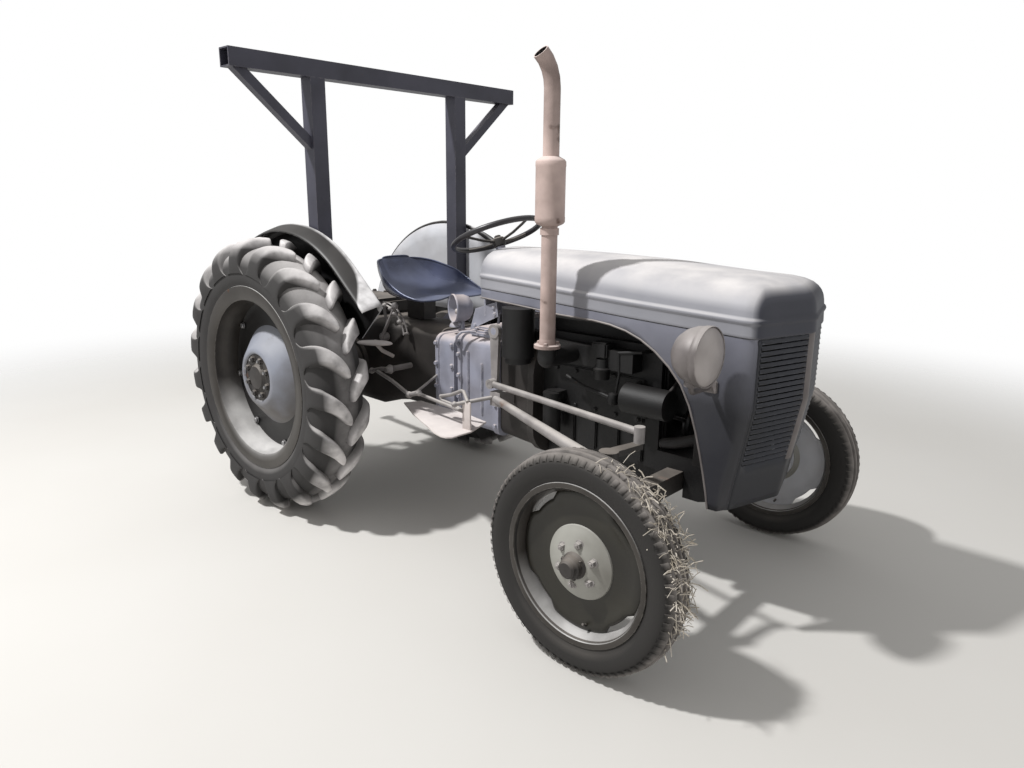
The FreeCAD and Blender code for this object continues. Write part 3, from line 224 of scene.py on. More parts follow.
def start_group(name, inputs, outputs):
    """An empty effect; the kind of each input follows from the value it starts with."""
    group = bpy.data.node_groups.new(name, "ShaderNodeTree")
    for label, start in inputs.items():
        kind = {3: "Vector", 4: "Color"}[len(start)] if isinstance(start, tuple) else "Float"
        made = group.interface.new_socket(label, in_out="INPUT", socket_type="NodeSocket" + kind)
        made.default_value = start
    for label in outputs:
        kind = "Color" if label == "Color" else "Float"
        group.interface.new_socket(label, in_out="OUTPUT", socket_type="NodeSocket" + kind)
    return group, group.nodes.new("NodeGroupInput").outputs, group.nodes.new("NodeGroupOutput").inputs


GREY = tone(128, 128, 128)
print("node helpers ready")

# %% [markdown]
# ## Shared effects
# Old paint is never one colour. Four effects come back in nearly every finish, so each is a
# shader node group with its own inputs: mottle, a slow change of colour with a fine grain; rust
# in patches; wear, where edges have lost their paint; and dust, which lies on all that faces up.
# Dust reads the normal in the object's own space, so that it stays where it lies when the bonnet
# is tilted.

# %% The four effects
mottle, into, out = start_group(
    "Mottle", {"Color": GREY, "Second Color": GREY, "Scale": 6.0, "Grain": 0.3}, ("Color", "Height"))
broad = speckle(mottle, into["Scale"], 5.0)
patchy = remap(mottle, broad, 0.38, 0.64)
mottle.links.new(blend(mottle, patchy, into["Color"], into["Second Color"]), out["Color"])
grainy = product(mottle, speckle(mottle, 260.0, 3.0), into["Grain"])
mottle.links.new(product(mottle, grainy, broad, "ADD"), out["Height"])

rust, into, out = start_group("Rust", {
    "Color": GREY, "Rust Color": tone(92, 66, 52), "Amount": 0.2, "Scale": 9.0}, ("Color", "Mask"))
level = product(rust, 0.72, product(rust, into["Amount"], 0.3), "SUBTRACT")
masked = remap(rust, product(rust, speckle(rust, into["Scale"], 9.0), level, "SUBTRACT"), 0.0, 0.05)
rusty = blend(rust, remap(rust, speckle(rust, 60.0, 4.0), 0.35, 0.65), into["Rust Color"], tone(64, 44, 34))
rust.links.new(blend(rust, masked, into["Color"], rusty), out["Color"])
rust.links.new(masked, out["Mask"])

wear, into, out = start_group(
    "EdgeWear", {"Color": GREY, "Bare Color": GREY, "Amount": 0.5, "Width": 0.004}, ("Color",))
rounded = add_node(wear, "ShaderNodeBevel", {"Radius": into["Width"]}, samples=4).outputs[0]
facing = add_node(wear, "ShaderNodeNewGeometry").outputs["Normal"]
edge = remap(wear, vector_math(wear, "DOT_PRODUCT", rounded, facing)["Value"], 0.985, 0.88)
ragged = product(wear, edge, remap(wear, speckle(wear, 55.0, 5.0), 0.4, 0.62))
edge_mask = product(wear, ragged, into["Amount"])
wear.links.new(blend(wear, edge_mask, into["Color"], into["Bare Color"]), out["Color"])

dust, into, out = start_group("SettledDust", {
    "Color": GREY, "Dust Color": GREY, "Amount": 0.6, "Film": 0.1, "Scale": 7.0}, ("Color", "Mask"))
up = part_of(dust, own_space(dust, "Normal"), "Z")
lying = product(dust, remap(dust, up, 0.15, 0.95), into["Amount"])
uneven = remap(dust, speckle(dust, into["Scale"], 7.0), 0.3, 0.7, 0.45, 1.15)
film = product(dust, product(dust, lying, into["Film"], "MAXIMUM"), uneven)
dust.links.new(blend(dust, film, into["Color"], into["Dust Color"]), out["Color"])
dust.links.new(film, out["Mask"])
print("effects:", [group.name for group in bpy.data.node_groups])

# %% [markdown]
# Three more serve single finishes. One paints shade on the side panels, darker toward their foot.
# The pale tops of lugs, ribs and fenders are told from the rest by their distance from the axle; on
# the fenders the pale ridge is painted light, with some dust. And the bonnet gets painted shade where
# it looks forward, away from the light.

# %% Effects for single finishes
# Painted shade: toward the foot of a panel the colour turns dark, like the shade below the lamp.
foot_shade, into, out = start_group(
    "PaintedFootShade", {"Color": GREY, "Low Color": GREY, "Foot": 0.6, "Head": 1.0}, ("Color",))
height_here = part_of(foot_shade, own_space(foot_shade), "Z")
wavy = product(foot_shade, height_here, remap(foot_shade, speckle(foot_shade, 5.0, 3.0), 0.3, 0.7, -0.03, 0.03), "ADD")
raised = remap(foot_shade, wavy, into["Foot"], into["Head"])
foot_shade.links.new(blend(foot_shade, raised, into["Low Color"], into["Color"]), out["Color"])

tops, into, out = start_group(
    "PaleTops", {"Color": GREY, "Top Color": GREY, "Axle": (0, 0, 0), "Inner": 0.5, "Outer": 0.6},
    ("Color",))
from_axle = vector_math(tops, "SUBTRACT", own_space(tops), into["Axle"])["Vector"]
flat = vector_math(tops, "MULTIPLY", from_axle, (1, 0, 1))["Vector"]
reached = remap(tops, vector_math(tops, "LENGTH", flat)["Value"], into["Inner"], into["Outer"])
patchy = product(tops, reached, remap(tops, speckle(tops, 16.0, 6.0), 0.32, 0.6, 0.45, 1.0))
tops.links.new(blend(tops, patchy, into["Color"], into["Top Color"]), out["Color"])

# Painted shade: faces that look forward, away from the light, turn to a dark colour.
forward, into, out = start_group("PaintedForwardShade", {"Color": GREY, "Shade Color": GREY}, ("Color",))
looks = remap(forward, part_of(forward, own_space(forward, "Normal"), "X"), 0.42, 0.78, 0.0, 0.92)
forward.links.new(blend(forward, looks, into["Color"], into["Shade Color"]), out["Color"])
print("single effects: Grime, PaleTops, PaintedForwardShade")

# %% [markdown]
# ## Finishes
# Each finish is one row of a table: its two paint colours, how rough and how metallic it is, and
# how much of each effect lies on it. The order in a material is the order in which things
# happened to the tractor: paint, rust, wear at the edges, dust on top.

# %% Finish table
FINISHES = {
    # name: (colour, second colour, roughness, metal, mottle scale), (bare edge colour, wear, rust),
    #       (dust colour, dust, film), bump
    "bonnet_paint": (
        ((146, 146, 152), (126, 127, 134), .5, 0, 3.5),
        ((186, 182, 176), .45, .03), ((206, 202, 200), .9, .08), .1),
    # Painted shade: the nose's blue-black paint is made darker still for the front that faces away from the
    # light.
    "nose_paint": (
        ((22, 24, 34), (16, 18, 26), .42, 0, 5),
        ((120, 122, 130), .45, .02), ((100, 102, 112), .4, .01), .12),
    "casting_paint": (
        ((138, 142, 158), (112, 116, 130), .42, 0, 9),
        ((196, 196, 204), .8, .06), ((200, 186, 180), .85, .14), .3),
    # Oily iron, made near black as painted shade for the engine under the bonnet and the outer faces of the
    # fender plates.
    "engine_iron": (
        ((12, 11, 12), (8, 7, 8), .55, .1, 14),
        ((50, 46, 44), .4, .06), ((56, 52, 50), .3, .02), .5),
    # dark iron; on the clutch and rear housings it is oil and painted shade
    "axle_iron": (
        ((44, 41, 40), (28, 26, 26), .5, .1, 10),
        ((120, 114, 110), .5, .12), ((140, 132, 124), .65, .06), .4),
    "rod_steel": (
        ((134, 130, 130), (104, 100, 100), .45, .2, 12),
        ((190, 186, 182), .6, .12), ((190, 184, 178), .8, .2), .25),
    "exhaust_steel": (
        ((190, 168, 160), (106, 88, 82), .7, .1, 4.5),
        ((120, 100, 92), .5, .26), ((226, 212, 206), .75, .14), .3),
    # Painted shade and light: the crown is near black, with a pale ridge of painted light and some dust on
    # its top.
    "fender_paint": (
        ((22, 19, 17), (16, 14, 13), .45, 0, 5),
        ((190, 188, 186), .6, .08), ((96, 92, 88), .2, .0), .12),
    "bar_paint": (
        ((66, 66, 78), (50, 50, 60), .4, .15, 4),
        ((130, 124, 126), .6, .08), ((136, 132, 138), .6, .05), .14),
    "wheel_centre": (
        ((132, 136, 148), (84, 80, 78), .38, 0, 3.2),
        ((176, 174, 170), .4, .05), ((160, 158, 156), .5, .08), .12),
    "front_disc": (
        ((38, 36, 29), (30, 28, 24), .4, .1, 5),
        ((110, 104, 92), .4, .04), ((86, 82, 70), .4, .03), .12),
    "panel_paint": (
        ((122, 123, 134), (106, 107, 118), .48, 0, 4),
        ((170, 170, 174), .45, .02), ((150, 148, 150), .6, .06), .12),
    "rear_rubber": (
        ((30, 28, 28), (20, 19, 19), .8, 0, 7),
        ((110, 107, 104), .3, 0), ((186, 182, 180), .85, .05), .55),
    "front_rubber": (
        ((28, 26, 25), (20, 19, 18), .75, 0, 7),
        ((96, 92, 88), .3, 0), ((116, 110, 104), .7, .05), .45),
    "painted_lit_face": (
        ((172, 174, 180), (146, 146, 150), .5, 0, 5),
        ((190, 188, 186), .4, .06), ((206, 204, 204), .8, .3), .15),
    # Dust and painted light: heavy pale dust on the upward faces gives the lower barrel its lit band.
    "rear_rim": (
        ((60, 56, 52), (44, 40, 36), .36, .3, 6),
        ((150, 146, 140), .5, .08), ((200, 198, 196), .95, .01), .12),
    "boss_paint": (
        ((150, 149, 142), (106, 103, 96), .42, 0, 3.2),
        ((176, 174, 170), .4, .05), ((172, 170, 164), .6, .1), .14),
    "dusty_plate": (
        ((196, 188, 184), (160, 150, 146), .8, 0, 9),
        ((196, 190, 186), .3, .06), ((222, 214, 210), .85, .3), .3),
    "rubber": (
        ((44, 42, 42), (30, 29, 29), .8, 0, 7),
        ((110, 107, 104), .3, 0), ((110, 106, 103), .7, .12), .45),
    "seat_paint": (
        ((68, 74, 100), (40, 44, 64), .18, .25, 8),
        ((120, 124, 136), .5, .04), ((140, 146, 166), .45, .1), .1),
    "grip_black": (
        ((24, 23, 27), (36, 34, 38), .32, 0, 12),
        ((80, 76, 76), .3, 0), ((130, 126, 126), .3, .05), .1),
    "lamp_shell": (
        ((112, 106, 105), (84, 78, 77), .42, .2, 9),
        ((170, 164, 160), .5, .1), ((176, 170, 166), .7, .12), .15),
    "tank_paint": (
        ((19, 17, 16), (13, 12, 12), .45, 0, 8),
        ((88, 82, 78), .4, .05), ((82, 76, 72), .4, .01), .12),
    "bright_steel": (
        ((168, 168, 170), (130, 128, 128), .3, .85, 12),
        ((200, 198, 196), .3, .12), ((150, 144, 138), .3, .04), .1),
    "dark_recess": (
        ((16, 15, 17), (10, 10, 11), .7, 0, 9),
        ((34, 32, 32), 0, .05), ((56, 52, 50), .2, .02), .2),
    "hose_rubber": (
        ((30, 29, 31), (22, 21, 23), .55, 0, 9),
        ((60, 58, 58), .2, 0), ((104, 98, 94), .5, .08), .2),
    "straw": (
        ((196, 188, 176), (142, 132, 116), .75, 0, 20),
        ((206, 198, 184), 0, 0), ((206, 200, 190), .2, .1), .1),
    "lens_bulb": (
        ((176, 170, 168), (140, 134, 132), .16, .1, 9),
        ((200, 196, 190), 0, 0), ((178, 170, 166), .5, .45), .05),
}
AFTER_MOTTLE = {  # finish: effect laid straight on the paint, and its settings
    # painted shade toward the foot of the side panels
    "panel_paint": (foot_shade, {"Low Color": tone(30, 31, 38), "Foot": 0.76, "Head": 0.99}),
    "rear_rubber": (tops, {
        "Top Color": tone(214, 210, 209), "Axle": (REAR, 0, REAR_RADIUS), "Inner": 0.556, "Outer": 0.598}),
    # painted light, with some dust, on the ridge at the top of each fender crown
    "fender_paint": (tops, {
        "Top Color": tone(214, 212, 212), "Axle": (REAR, 0, REAR_RADIUS), "Inner": 0.6525, "Outer": 0.6565}),
    "front_rubber": (tops, {
        "Top Color": tone(140, 134, 130), "Axle": (FRONT, 0, FRONT_RADIUS), "Inner": 0.322, "Outer": 0.34}),
}
# painted shade on the faces of the bonnet that look forward
AFTER_DUST = {"bonnet_paint": (forward, {"Shade Color": tone(38, 40, 52)})}
print("finishes in the table:", len(FINISHES))

# %% [markdown]
# One function turns a row into a material. Each layer takes the colour of the one below it, and
# the masks of rust and dust also make the surface rougher where they lie.

# %% Finishes from their rows
def painted(name, row):
    """A finish built from its row of the table."""
    (base, second, rough, metal, scale), (bare, worn, rusted), (dusty, lying, film), bump = row
    made = bpy.data.materials.new(name)
    made.use_nodes = True
    tree = made.node_tree
    shader = tree.nodes["Principled BSDF"]
    layer = use_group(tree, mottle, {
        "Color": tone(*base), "Second Color": tone(*second), "Scale": scale, "Grain": 0.25})
    height = layer["Height"]
    masks = []
    if name in AFTER_MOTTLE:
        effect, settings = AFTER_MOTTLE[name]
        layer = use_group(tree, effect, {"Color": layer["Color"], **settings})
    if rusted:
        layer = use_group(tree, rust, {"Color": layer["Color"], "Amount": rusted})
        masks.append(layer["Mask"])
    if worn:
        layer = use_group(tree, wear, {
            "Color": layer["Color"], "Bare Color": tone(*bare), "Amount": worn})
    layer = use_group(tree, dust, {
        "Color": layer["Color"], "Dust Color": tone(*dusty), "Amount": lying, "Film": film})
    masks.append(layer["Mask"])
    if name in AFTER_DUST:
        effect, settings = AFTER_DUST[name]
        layer = use_group(tree, effect, {"Color": layer["Color"], **settings})
    tree.links.new(layer["Color"], shader.inputs["Base Color"])
    rougher = product(tree, *masks, "MAXIMUM") if len(masks) == 2 else masks[0]
    tree.links.new(remap(tree, rougher, 0.0, 1.0, rough, 0.88), shader.inputs["Roughness"])
    shader.inputs["Metallic"].default_value = metal
    bumped = add_node(tree, "ShaderNodeBump", {"Height": height, "Strength": bump, "Distance": 0.004})
    tree.links.new(bumped.outputs[0], shader.inputs["Normal"])
    return made


FINISH = {name: painted(name, row) for name, row in FINISHES.items()}
print("finishes:", len(FINISH))

# %% [markdown]
# ## Floor
# The floor is pale and fades out at its edge, so that it meets the white without a horizon. The
# fading follows the distance from the middle, and only the opacity of the floor reads it.

# %% Floor
FLOOR_HALF = 9
floor_mesh = bpy.data.meshes.new("Floor")
corners = [(x * FLOOR_HALF, y * FLOOR_HALF, 0) for x, y in ((-1, -1), (1, -1), (1, 1), (-1, 1))]
floor_mesh.from_pydata(corners, [], [(0, 1, 2, 3)])
floor = placed("Floor", floor_mesh)

fading, into, out = start_group("FadeOut", {"Start": 2.6, "End": 6.0}, ("Alpha",))
away = vector_math(fading, "LENGTH", own_space(fading))["Value"]
faded = add_node(fading, "ShaderNodeMapRange", {
    "Value": away, "From Min": into["Start"], "From Max": into["End"], "To Min": 1.0, "To Max": 0.0},
    interpolation_type="SMOOTHSTEP")
fading.links.new(faded.outputs[0], out["Alpha"])

floor_paint = bpy.data.materials.new("FloorPaint")
floor_paint.use_nodes = True
tree = floor_paint.node_tree
shader = tree.nodes["Principled BSDF"]
shader.inputs["Roughness"].default_value = 0.9
pale = blend(tree, speckle(tree, 0.8, 3.0), tone(204, 202, 198), tone(196, 193, 188))
tree.links.new(pale, shader.inputs["Base Color"])
tree.links.new(use_group(tree, fading, {})["Alpha"], shader.inputs["Alpha"])
floor_mesh.materials.append(floor_paint)
print("floor", 2 * FLOOR_HALF, "m wide")

# %% [markdown]
# Every solid of the frame already names the finish it should have. Those that stay visible get
# it here; the solids that are replaced further down stay as they are, hidden.

# %% Finish the solids
SLOT_OF = {part["node"]: part["material_slot"] for part in frame["record"]["subparts"]}
for node_name, solid in frame["nodes"].items():
    solid.data.materials.clear()
    solid.data.materials.append(FINISH[SLOT_OF[node_name]])
print("finished solids:", len(frame["nodes"]))

# %% [markdown]
# ## A small workbench
# Most pieces are one of four kinds of form: a grid of points, a profile turned about an axle, a
# tube along a path, or a block with broken edges. One class collects such forms in a single mesh,
# so that a piece of many forms is still one object with one finish.

# %% Workbench
AXES = {"x": Vector((1, 0, 0)), "y": Vector((0, 1, 0)), "z": Vector((0, 0, 1))}


def at(x, y, z):
    """A place measured from the rear axle."""
    return Vector((REAR + x, y, z))


def turns(count):
    """Equal steps of angle round a full circle."""
    return [2 * math.pi * step / count for step in range(count)]


def mirrored(half):
    """A profile of (place, radius) and its mirror image; a point in the middle isn't repeated."""
    return half + [(-place, radius) for place, radius in reversed(half) if place]


class Form:
    """Forms that are collected in one mesh and become one piece."""

    def __init__(self):
        self.mesh = bmesh.new()

    def grid(self, rows, closed_across=False, closed_along=False):
        """Faces between rows of points; each row has the same count."""
        made = [[self.mesh.verts.new(point) for point in row] for row in rows]
        pairs = list(zip(made, made[1:]))
        if closed_along:
            pairs.append((made[-1], made[0]))
        for row, after in pairs:
            count = len(row)
            for index in range(count if closed_across else count - 1):
                step = (index + 1) % count
                corners = [row[index], row[step], after[step], after[index]]
                if len(set(corners)) == 4:
                    self.mesh.faces.new(corners)
        return made

    def cap(self, ring):
        """A face that closes a ring of corners."""
        self.mesh.faces.new(ring)

    def lathe(self, profile, centre, axis="y", segments=72, closed=False):
        """A profile of (place along the axis, radius) turned about the axis through a centre."""
        along = AXES[axis] if isinstance(axis, str) else Vector(axis).normalized()
        side = along.orthogonal().normalized()
        other = along.cross(side)
        rows = []
        for place, radius in profile:
            middle = Vector(centre) + along * place
            rows.append([middle + (side * math.cos(turn) + other * math.sin(turn)) * max(radius, 1e-5)
                         for turn in turns(segments)])
        return self.grid(rows, closed_across=True, closed_along=closed)

    def tube(self, path, radius, sides=12, capped=True):
        """A round tube along a path; the radius may differ from point to point."""
        points = [Vector(point) for point in path]
        radii = radius if isinstance(radius, (list, tuple)) else [radius] * len(points)
        heading = (points[1] - points[0]).normalized()
        side = heading.orthogonal().normalized()
        rows = []
        for index, point in enumerate(points):
            before = points[max(index - 1, 0)]
            after = points[min(index + 1, len(points) - 1)]
            heading = (after - before).normalized()
            side = (side - heading * side.dot(heading)).normalized()
            other = heading.cross(side)
            rows.append([point + (side * math.cos(turn) + other * math.sin(turn)) * radii[index]
                         for turn in turns(sides)])
        made = self.grid(rows, closed_across=True)
        if capped:
            self.cap(made[0][::-1])
            self.cap(made[-1])
        return made

    def rod(self, places, radius, sides=10):
        """A tube through places measured from the rear axle."""
        self.tube([at(*place) for place in places], radius, sides)

    def knob(self, middle, size):
        """A rounded joint about an axis from side to side."""
        slant = size * 0.7
        self.lathe(mirrored([(-size, 0.001), (-slant, slant), (0, size)]), middle, "y", 16)

    def block(self, low, high, broken=0.003, turned=None):
        """A block with broken edges, turned about its middle if a rotation is given."""
        low, high = Vector(low), Vector(high)
        size = high - low
        turned = (turned or Matrix()).to_4x4()
        place = Matrix.Translation((low + high) / 2) @ turned @ Matrix.Diagonal((*size, 1))
        corners = bmesh.ops.create_cube(self.mesh, matrix=place)["verts"]
        edges = {edge for corner in corners for edge in corner.link_edges}
        offset = min(broken, min(size) * 0.4)
        bmesh.ops.bevel(self.mesh, geom=list(edges), offset=offset, segments=2, affect="EDGES")

    def bolt(self, seat, axis, across=0.019, height=0.01):
        """A hexagon head on a washer."""
        self.lathe([(0, across * 0.72), (0.0022, across * 0.72), (0.0024, across * 0.4)], seat, axis, 20)
        corner = across * 0.577
        head = self.lathe([(0.002, corner), (height * 0.8, corner), (height, across * 0.46)], seat, axis, 6)
        self.cap(head[-1])

    def twin(self):
        """The same forms on the other side of the tractor, kept beside the first."""
        everything = self.mesh.verts[:] + self.mesh.edges[:] + self.mesh.faces[:]
        copied = bmesh.ops.duplicate(self.mesh, geom=everything)["geom"]
        for item in copied:
            if isinstance(item, bmesh.types.BMVert):
                item.co.y = -item.co.y
        faces = [item for item in copied if isinstance(item, bmesh.types.BMFace)]
        bmesh.ops.reverse_faces(self.mesh, faces=faces)
        return self

    def done(self, name, body, slot, finish=None, sharp=38, stands_for=(), solid=0, round_off=0, side="left"):
        """The forms as one object that rides on a body, with its finish.

        An angle above sharp keeps its edge, solid gives a sheet its thickness, round_off subdivides,
        and the side "right" mirrors the forms.
        """
        bmesh.ops.remove_doubles(self.mesh, verts=self.mesh.verts[:], dist=1e-5)
        bmesh.ops.recalc_face_normals(self.mesh, faces=self.mesh.faces[:])
        made = bpy.data.meshes.new(name)
        work = self.mesh.copy()
        if side == "right":
            for corner in work.verts:
                corner.co.y = -corner.co.y
            bmesh.ops.reverse_faces(work, faces=work.faces[:])
        work.to_mesh(made)
        work.free()
        made.shade_smooth()
        made.set_sharp_from_angle(angle=math.radians(sharp))
        piece = placed(name, made)
        made.materials.append(FINISH[finish or slot])
        if solid:
            sheet = piece.modifiers.new("Sheet", "SOLIDIFY")
            sheet.thickness = solid
            sheet.offset = -1
        if round_off:
            soften = piece.modifiers.new("Soften", "SUBSURF")
            soften.levels = soften.render_levels = round_off
        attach(piece, body)
        if stands_for:
            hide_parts(*stands_for)
        print("made", name, len(made.polygons), "faces")


print("workbench ready:", [name for name in vars(Form) if not name.startswith("_")])

# %% [markdown]
# A few small functions serve the tables below: a value between two rows, a point about an axle, and
# one wheel piece made for both sides of the tractor.

# %% Helpers for tables and wheels
def both_wheels(form, name, body, slot, node="", **how):
    """One wheel piece on the left and its mirror on the right."""
    for side in ("left", "right"):
        stands_for = (node + "_" + side,) if node else ()
        form.done(name + side.title(), body + "_" + side, slot, side=side, stands_for=stands_for, **how)


def between(low, high, share):
    """The value at a share of the way from low to high."""
    return low + (high - low) * share


def along_table(table, place):
    """A value read between the rows of a table of (place, value)."""
    for (start, first), (end, last) in zip(table, table[1:]):
        if place <= end:
            return between(first, last, max(0.0, (place - start) / (end - start)))
    return table[-1][1]


def polar(centre, angle, radius, y):
    """A point about an axle along y; the angle is in degrees from the forward level."""
    turn = math.radians(angle)
    return Vector((centre[0] + radius * math.cos(turn), y, centre[2] + radius * math.sin(turn)))


ahead_of_axle = polar((REAR, 0, REAR_RADIUS), 0, 1.0, 0)
print("one metre ahead of the rear axle:", [round(part, 3) for part in ahead_of_axle])

# %% [markdown]
# ## Rear tyres
# A tractor's drive tyre has a smooth carcass with tall lugs moulded on. Each lug starts with a
# hooked nose at the middle of the tread, sweeps back as a curved bar and spreads into a scalloped
# foot on the shoulder. So one lug is drawn as a row of cross sections, with the place, top and
# half width of each in a table, and then repeated round the wheel, half a pitch apart on the two
# sides. A subdivision rounds its edges like worn rubber.

# %% Rear tyres
WHEEL = (REAR, 0.61, REAR_RADIUS)
carcass = Form()
bulge = [(0.103, 0.349), (0.1035, 0.398), (0.11, 0.409), (0.1165, 0.424), (0.1195, 0.445),
         (0.119, 0.47), (0.114, 0.496), (0.104, 0.52), (0.086, 0.541), (0.05, 0.562), (0.0, 0.572)]
carcass.lathe(mirrored(bulge) + mirrored([(-0.09, 0.346)]), WHEEL, segments=128, closed=True)

LUG = [  # across the tread, top radius, forward lead, half width at the top, base radius
    (0.001, 0.604, 0.1, 0.014, 0.562), (0.009, 0.6045, 0.09, 0.026, 0.564),
    (0.024, 0.6045, 0.068, 0.033, 0.564), (0.045, 0.602, 0.044, 0.034, 0.56),
    (0.068, 0.596, 0.023, 0.036, 0.552), (0.09, 0.584, 0.008, 0.039, 0.538),
    (0.108, 0.566, 0.0, 0.043, 0.518), (0.1205, 0.542, -0.005, 0.045, 0.5),
    (0.1265, 0.516, -0.008, 0.045, 0.484), (0.1275, 0.493, -0.009, 0.05, 0.47),
    (0.126, 0.474, -0.009, 0.066, 0.46), (0.1235, 0.46, -0.009, 0.088, 0.448)]
LUGS = 19
SHOULDER = 0.1  # from here outward a lug's foot is tucked under its top
TREAD_RADIUS = 0.6


def tread_angle(length):
    """The angle in degrees that a length takes up on the tread."""
    return math.degrees(length / TREAD_RADIUS)


for hand in (1, -1):
    for count in range(LUGS):
        start = 360 / LUGS * (count + (0.5 if hand < 0 else 0))
        rows = []
        for across, top, lead, half, base in LUG:
            y = WHEEL[1] + hand * across
            inner = WHEEL[1] + hand * (across - 0.014 if across > SHOULDER else across)
            centre = start - tread_angle(lead)
            spread = tread_angle(half)
            foot = spread + tread_angle(0.007)
            low = min(base, top - 0.003)
            section = [(foot, low, inner), (spread, top - 0.005, y), (spread * 0.75, top, y),
                       (-spread * 0.75, top, y), (-spread, top - 0.005, y), (-foot, low, inner)]
            rows.append([polar(WHEEL, centre + turn, radius, place) for turn, radius, place in section])
        made = carcass.grid(rows if hand > 0 else [row[::-1] for row in rows])
        carcass.cap(made[0])
both_wheels(carcass, "RearTyre", "rear", "rubber", "rear_tyre", finish="rear_rubber", round_off=1, sharp=80)

# %% [markdown]
# ## Rear wheels
# The rear wheel is a rim with a drop centre, a dark dished disc bolted to eight lugs of the rim,
# and a paler raised dish round the hub with its nuts. All of it is round, so it is turned from
# profiles, and the nuts are set on their circle. The dish rises most of the way to the plane of
# the rim's edge.

# %% Rear wheels
rim = Form()
outside = mirrored([(0.11, 0.398), (0.1095, 0.402), (0.1055, 0.4035), (0.102, 0.4), (0.1015, 0.352),
                    (0.098, 0.347), (0.06, 0.346), (0.05, 0.338)])
inner_side = mirrored([(-0.1075, 0.352), (-0.1, 0.341), (-0.062, 0.34), (-0.05, 0.331)])
rim.lathe(outside + inner_side, WHEEL, segments=128, closed=True)
both_wheels(rim, "RearRim", "rear", "wheel_centre", finish="rear_rim", sharp=50)

disc = Form()
disc.lathe([(0.004, 0.214), (-0.004, 0.232), (-0.01, 0.262), (-0.013, 0.3), (-0.01, 0.33), (-0.004, 0.3395),
            (-0.01, 0.3395), (-0.018, 0.33), (-0.021, 0.3), (-0.018, 0.262), (-0.012, 0.23), (-0.004, 0.21)],
           WHEEL, segments=128, closed=True)
both_wheels(disc, "RearDisc", "rear", "wheel_centre", finish="tank_paint", sharp=50)

dish = Form()
dish.lathe([(0.076, 0.104), (0.08, 0.108), (0.0815, 0.112), (0.0815, 0.122), (0.078, 0.131),
            (0.062, 0.15), (0.04, 0.176), (0.018, 0.202), (0.004, 0.218), (-0.004, 0.226),
            (-0.008, 0.224), (0.0, 0.214), (0.034, 0.172), (0.056, 0.147), (0.07, 0.128),
            (0.072, 0.106)], WHEEL, segments=128, closed=True)
both_wheels(dish, "RearDish", "rear", "wheel_centre", "rear_wheel", sharp=50)

# %% [markdown]
# The hub is a turned casting with a ring of eight nuts, and the end of a stud shows in each. Eight
# bolts, with blocks behind them, hold the disc to the rim. Both rings are loops over the angle, which
# keeps their spacing exact.

# %% Hub, studs and rim bolts
HUB_NUTS = 8
NUT_CIRCLE = 0.082
hub = Form()
hub.lathe([(-0.111, 0.06), (-0.111, 0.088), (0.04, 0.09), (0.066, 0.098), (0.0735, 0.107),
           (0.074, 0.062), (0.079, 0.056), (0.087, 0.05), (0.091, 0.034), (0.0925, 0.001)],
          WHEEL, segments=64)
for count in range(HUB_NUTS):
    seat = polar(WHEEL, 22.5 + 45 * count, NUT_CIRCLE, WHEEL[1] + 0.074)
    hub.bolt(seat, "y", 0.024, 0.013)
both_wheels(hub, "RearHub", "rear", "wheel_centre", finish="axle_iron", sharp=35)

studs = Form()
for count in range(HUB_NUTS):
    seat = polar(WHEEL, 22.5 + 45 * count, NUT_CIRCLE, WHEEL[1] + 0.084)
    studs.lathe([(0.0, 0.0068), (0.009, 0.0064), (0.0105, 0.0005)], seat, "y", 12)
both_wheels(studs, "WheelStuds", "rear", "wheel_centre", finish="bright_steel", sharp=35)

clamps = Form()
CLAMP_HALF = Vector((0.016, 0.014, 0.022))
for count in range(8):
    angle = 45 * count + 8
    clamps.bolt(polar(WHEEL, angle, 0.316, WHEEL[1] - 0.008), "y", 0.021, 0.012)
    foot = polar(WHEEL, angle, 0.326, WHEEL[1] - 0.035)
    turn = Matrix.Rotation(math.radians(-angle), 3, "Y")
    clamps.block(foot - CLAMP_HALF, foot + CLAMP_HALF, 0.004, turn)
both_wheels(clamps, "RimBolts", "rear", "wheel_centre", finish="bright_steel")

# %% [markdown]
# ## Front tyres
# The steered wheels are narrow, with a ribbed tyre: a shallow groove in the middle, a rib at each
# side of it, a lower rib beyond, and a row of short bars on the shoulder.

# %% Front tyres
STEERED = (FRONT, 0.66, FRONT_RADIUS)
tyre = Form()
ribbed = [(0.0405, 0.232), (0.0408, 0.251), (0.0425, 0.254), (0.0432, 0.2575), (0.048, 0.266),
          (0.054, 0.282), (0.056, 0.298), (0.0545, 0.312), (0.048, 0.3235), (0.0415, 0.33),
          (0.036, 0.3355), (0.0305, 0.3365), (0.028, 0.33), (0.019, 0.331), (0.0165, 0.3405),
          (0.009, 0.3418), (0.0065, 0.3345), (0.0, 0.334)]
tyre.lathe(mirrored(ribbed) + mirrored([(-0.035, 0.23)]), STEERED, segments=144, closed=True)
BARS = 72
for hand in (1, -1):
    for count in range(BARS):
        angle = 360 / BARS * (count + (0.5 if hand < 0 else 0))
        rows = []
        for across, radius in ((0.0415, 0.3335), (0.0485, 0.3275), (0.0555, 0.3165)):
            y = STEERED[1] + hand * across
            rows.append([polar(STEERED, angle + turn, radius + lift, y) for turn, lift in (
                (-1.5, -0.002), (-1.0, 0.0016), (1.0, 0.0016), (1.5, -0.002))])
        tyre.grid(rows)
both_wheels(tyre, "FrontTyre", "front", "rubber", "front_tyre", finish="front_rubber", sharp=60)

# %% [markdown]
# ## Front wheels
# The pressed disc of a front wheel is cut away at four places, so the rim shows behind it. Its
# outer radius is drawn in there, as a function of the angle, and no cutting is needed. The inner
# face is a second skin with a paler finish, painted light on the face that the light falls on.

